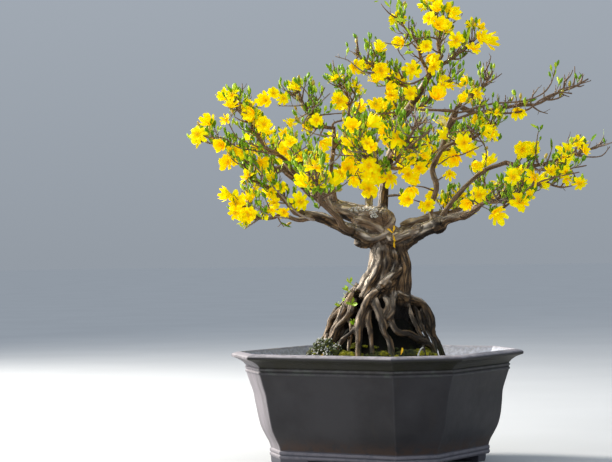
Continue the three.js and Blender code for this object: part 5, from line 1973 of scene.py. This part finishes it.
def build_fallen(finishes):
    spray = Spray()
    chance = Chance(DETAIL_SEED + 4)
    wilted = fallen_petal_shape(5.0, 9.0)
    hanging = Matrix.Rotation(math.radians(HANGING), 3, "X")
    for x, y, z, lean in SHOWN_FALLEN:
        hang = np.array(Matrix.Rotation(math.radians(lean), 3, "Y") @ hanging)
        spray.add(wilted.points * 0.8 @ hang.T + np.array([x, y, z]), wilted.faces, 2)
    for i in range(FALLEN_PETALS):
        turn, distance = chance() * math.tau, chance.between(112, 176)
        x, y = around(turn) * distance
        place = np.array([x, y, max(mound_height(x, y)[0], SOIL_LEVEL) + 2.5])
        turn = turned_about_up(chance() * 6)
        spray.add_shape(fallen_petal_shape(), place, turn, chance.between(0.7, 0.95))
    spray.piece("fallen_petals", finishes, "blossom", ["soil"])


# Light, floor and camera

CAMERA_PLACE = [-130.4, -3701, 182.8]
FOCAL_PIXELS = 1984
PICTURE_WIDTH = 612
SENSOR = 36
PITCH_UP = math.radians(0.68)
ROLL = math.radians(0.68)
TREE_MIDDLE = (0.0, 0.0, 0.48)  # in metres on the ground, as are the lights


def add_camera():
    camera = new_object("camera", bpy.data.cameras.new("camera"))
    camera.data.sensor_width = SENSOR
    camera.data.lens = SENSOR * FOCAL_PIXELS / PICTURE_WIDTH
    camera.data.clip_end = 100
    camera.location = set_down(CAMERA_PLACE)
    camera.rotation_euler = (math.pi / 2 + PITCH_UP, ROLL, 0)
    bpy.context.scene.camera = camera


def add_light(name, place, size, power, colour, spread=180):
    lamp = bpy.data.lights.new(name, "AREA")
    lamp.shape, lamp.size, lamp.energy, lamp.color = "DISK", size, power, colour
    lamp.spread = math.radians(spread)
    light = new_object(name, lamp)
    light.location = place
    light.rotation_euler = (Vector(TREE_MIDDLE) - light.location).to_track_quat("-Z", "Y").to_euler()


def add_world():
    """A pale sky, darker towards the horizon, where it meets the floor's own tone."""
    world = bpy.data.worlds.new("studio")
    world.use_nodes = True
    nodes, links = world.node_tree.nodes, world.node_tree.links
    place = nodes.new("ShaderNodeTexCoord")
    parts = nodes.new("ShaderNodeSeparateXYZ")
    ramp = nodes.new("ShaderNodeMapRange")
    ramp.inputs["From Max"].default_value = 0.7
    blend = nodes.new("ShaderNodeMix")
    blend.data_type = "RGBA"
    blend.inputs[6].default_value = (0.295, 0.33, 0.375, 1)
    blend.inputs[7].default_value = (0.62, 0.69, 0.78, 1)
    links.new(place.outputs["Generated"], parts.inputs[0])
    links.new(parts.outputs["Z"], ramp.inputs["Value"])
    links.new(ramp.outputs["Result"], blend.inputs[0])
    links.new(blend.outputs[2], nodes["Background"].inputs["Color"])
    bpy.context.scene.world = world


def add_studio():
    bm = bmesh.new()
    bmesh.ops.create_grid(bm, x_segments=1, y_segments=1, size=60)
    mesh = bpy.data.meshes.new("floor")
    bm.to_mesh(mesh)
    bm.free()
    floor = new_object("floor", mesh)
    mesh.materials.append(plain_finish(
        "pale_floor", (0.49, 0.50, 0.51), (0.51, 0.52, 0.53), 2, 0.9, Specular_IOR_Level=0.0))
    add_world()
    add_light("key", (-2.9, 1.6, 2.1), 0.9, 330, (1.0, 0.95, 0.87))
    add_light("fill", (1.8, -3.6, 1.8), 2.6, 2, (0.93, 0.96, 1.0), 60)
    add_light("front_left", (-2.6, -2.6, 2.0), 1.6, 4, (1.0, 0.97, 0.92), 60)
    bpy.context.scene.view_settings.view_transform = "Standard"


add_camera()
add_studio()
build_pot(clay_finish())
build_bed(earth_finish())
build_bark(bark_finish())
build_moss([
    plain_finish("moss", (0.035, 0.046, 0.004), (0.34, 0.32, 0.009), 110, 0.95),
    plain_finish("lichen", (0.06, 0.085, 0.045), (0.26, 0.30, 0.18), 400, 0.95),
    plain_finish("sprout", (0.30, 0.52, 0.02), (0.55, 0.72, 0.06), 200, 0.5),
    plain_finish("pale_lichen", (0.34, 0.33, 0.31), (0.86, 0.84, 0.79), 500, 0.95),
    plain_finish("dark_moss", (0.006, 0.010, 0.003), (0.065, 0.075, 0.010), 140, 0.95),
])
build_fallen([
    plain_finish("fallen_petal", (0.95, 0.66, 0.0), (1.0, 0.82, 0.02), 160, 0.6),
    plain_finish("fallen_middle", (0.95, 0.62, 0.0), (1.0, 0.78, 0.01), 160, 0.6),
    plain_finish("fallen_claw", (0.95, 0.48, 0.0), (1.0, 0.62, 0.0), 160, 0.6),
])
build_twigs([
    twig_finish("twig_bark", (0.078, 0.042, 0.024), (0.29, 0.180, 0.105)),
    twig_finish("twig_grey", (0.18, 0.135, 0.105), (0.42, 0.34, 0.28)),
])
build_blossom([
    petal_finish("petal_lemon", (1.0, 0.82, 0.0), (1.0, 0.97, 0.008)),
    petal_finish("petal_warm", (1.0, 0.72, 0.0), (1.0, 0.87, 0.002)),
    petal_finish("petal_throat", (0.98, 0.62, 0.0), (1.0, 0.77, 0.0)),
    petal_finish("petal_golden", (1.0, 0.75, 0.0), (1.0, 0.90, 0.002)),
    petal_finish("petal_deep", (0.99, 0.67, 0.0), (1.0, 0.82, 0.0)),
    petal_finish("petal_amber", (0.93, 0.54, 0.0), (1.0, 0.69, 0.0)),
], [
    plain_finish("stamen_golden", (0.88, 0.54, 0.0), (1.0, 0.80, 0.01), 900, 0.6, 0.05),
], [
    plain_finish("bud_green", (0.085, 0.215, 0.003), (0.26, 0.46, 0.010), 300, Specular_IOR_Level=0.2),
    plain_finish("bud_pale", (0.36, 0.58, 0.012), (0.72, 0.88, 0.05), 300, Specular_IOR_Level=0.25),
    plain_finish("bud_tinted", (0.40, 0.28, 0.03), (0.66, 0.50, 0.06), 300),
    plain_finish("dried_leaf", (0.70, 0.52, 0.12), (1.0, 0.90, 0.42), 300, 0.7),
])

bpy.context.view_layer.update()
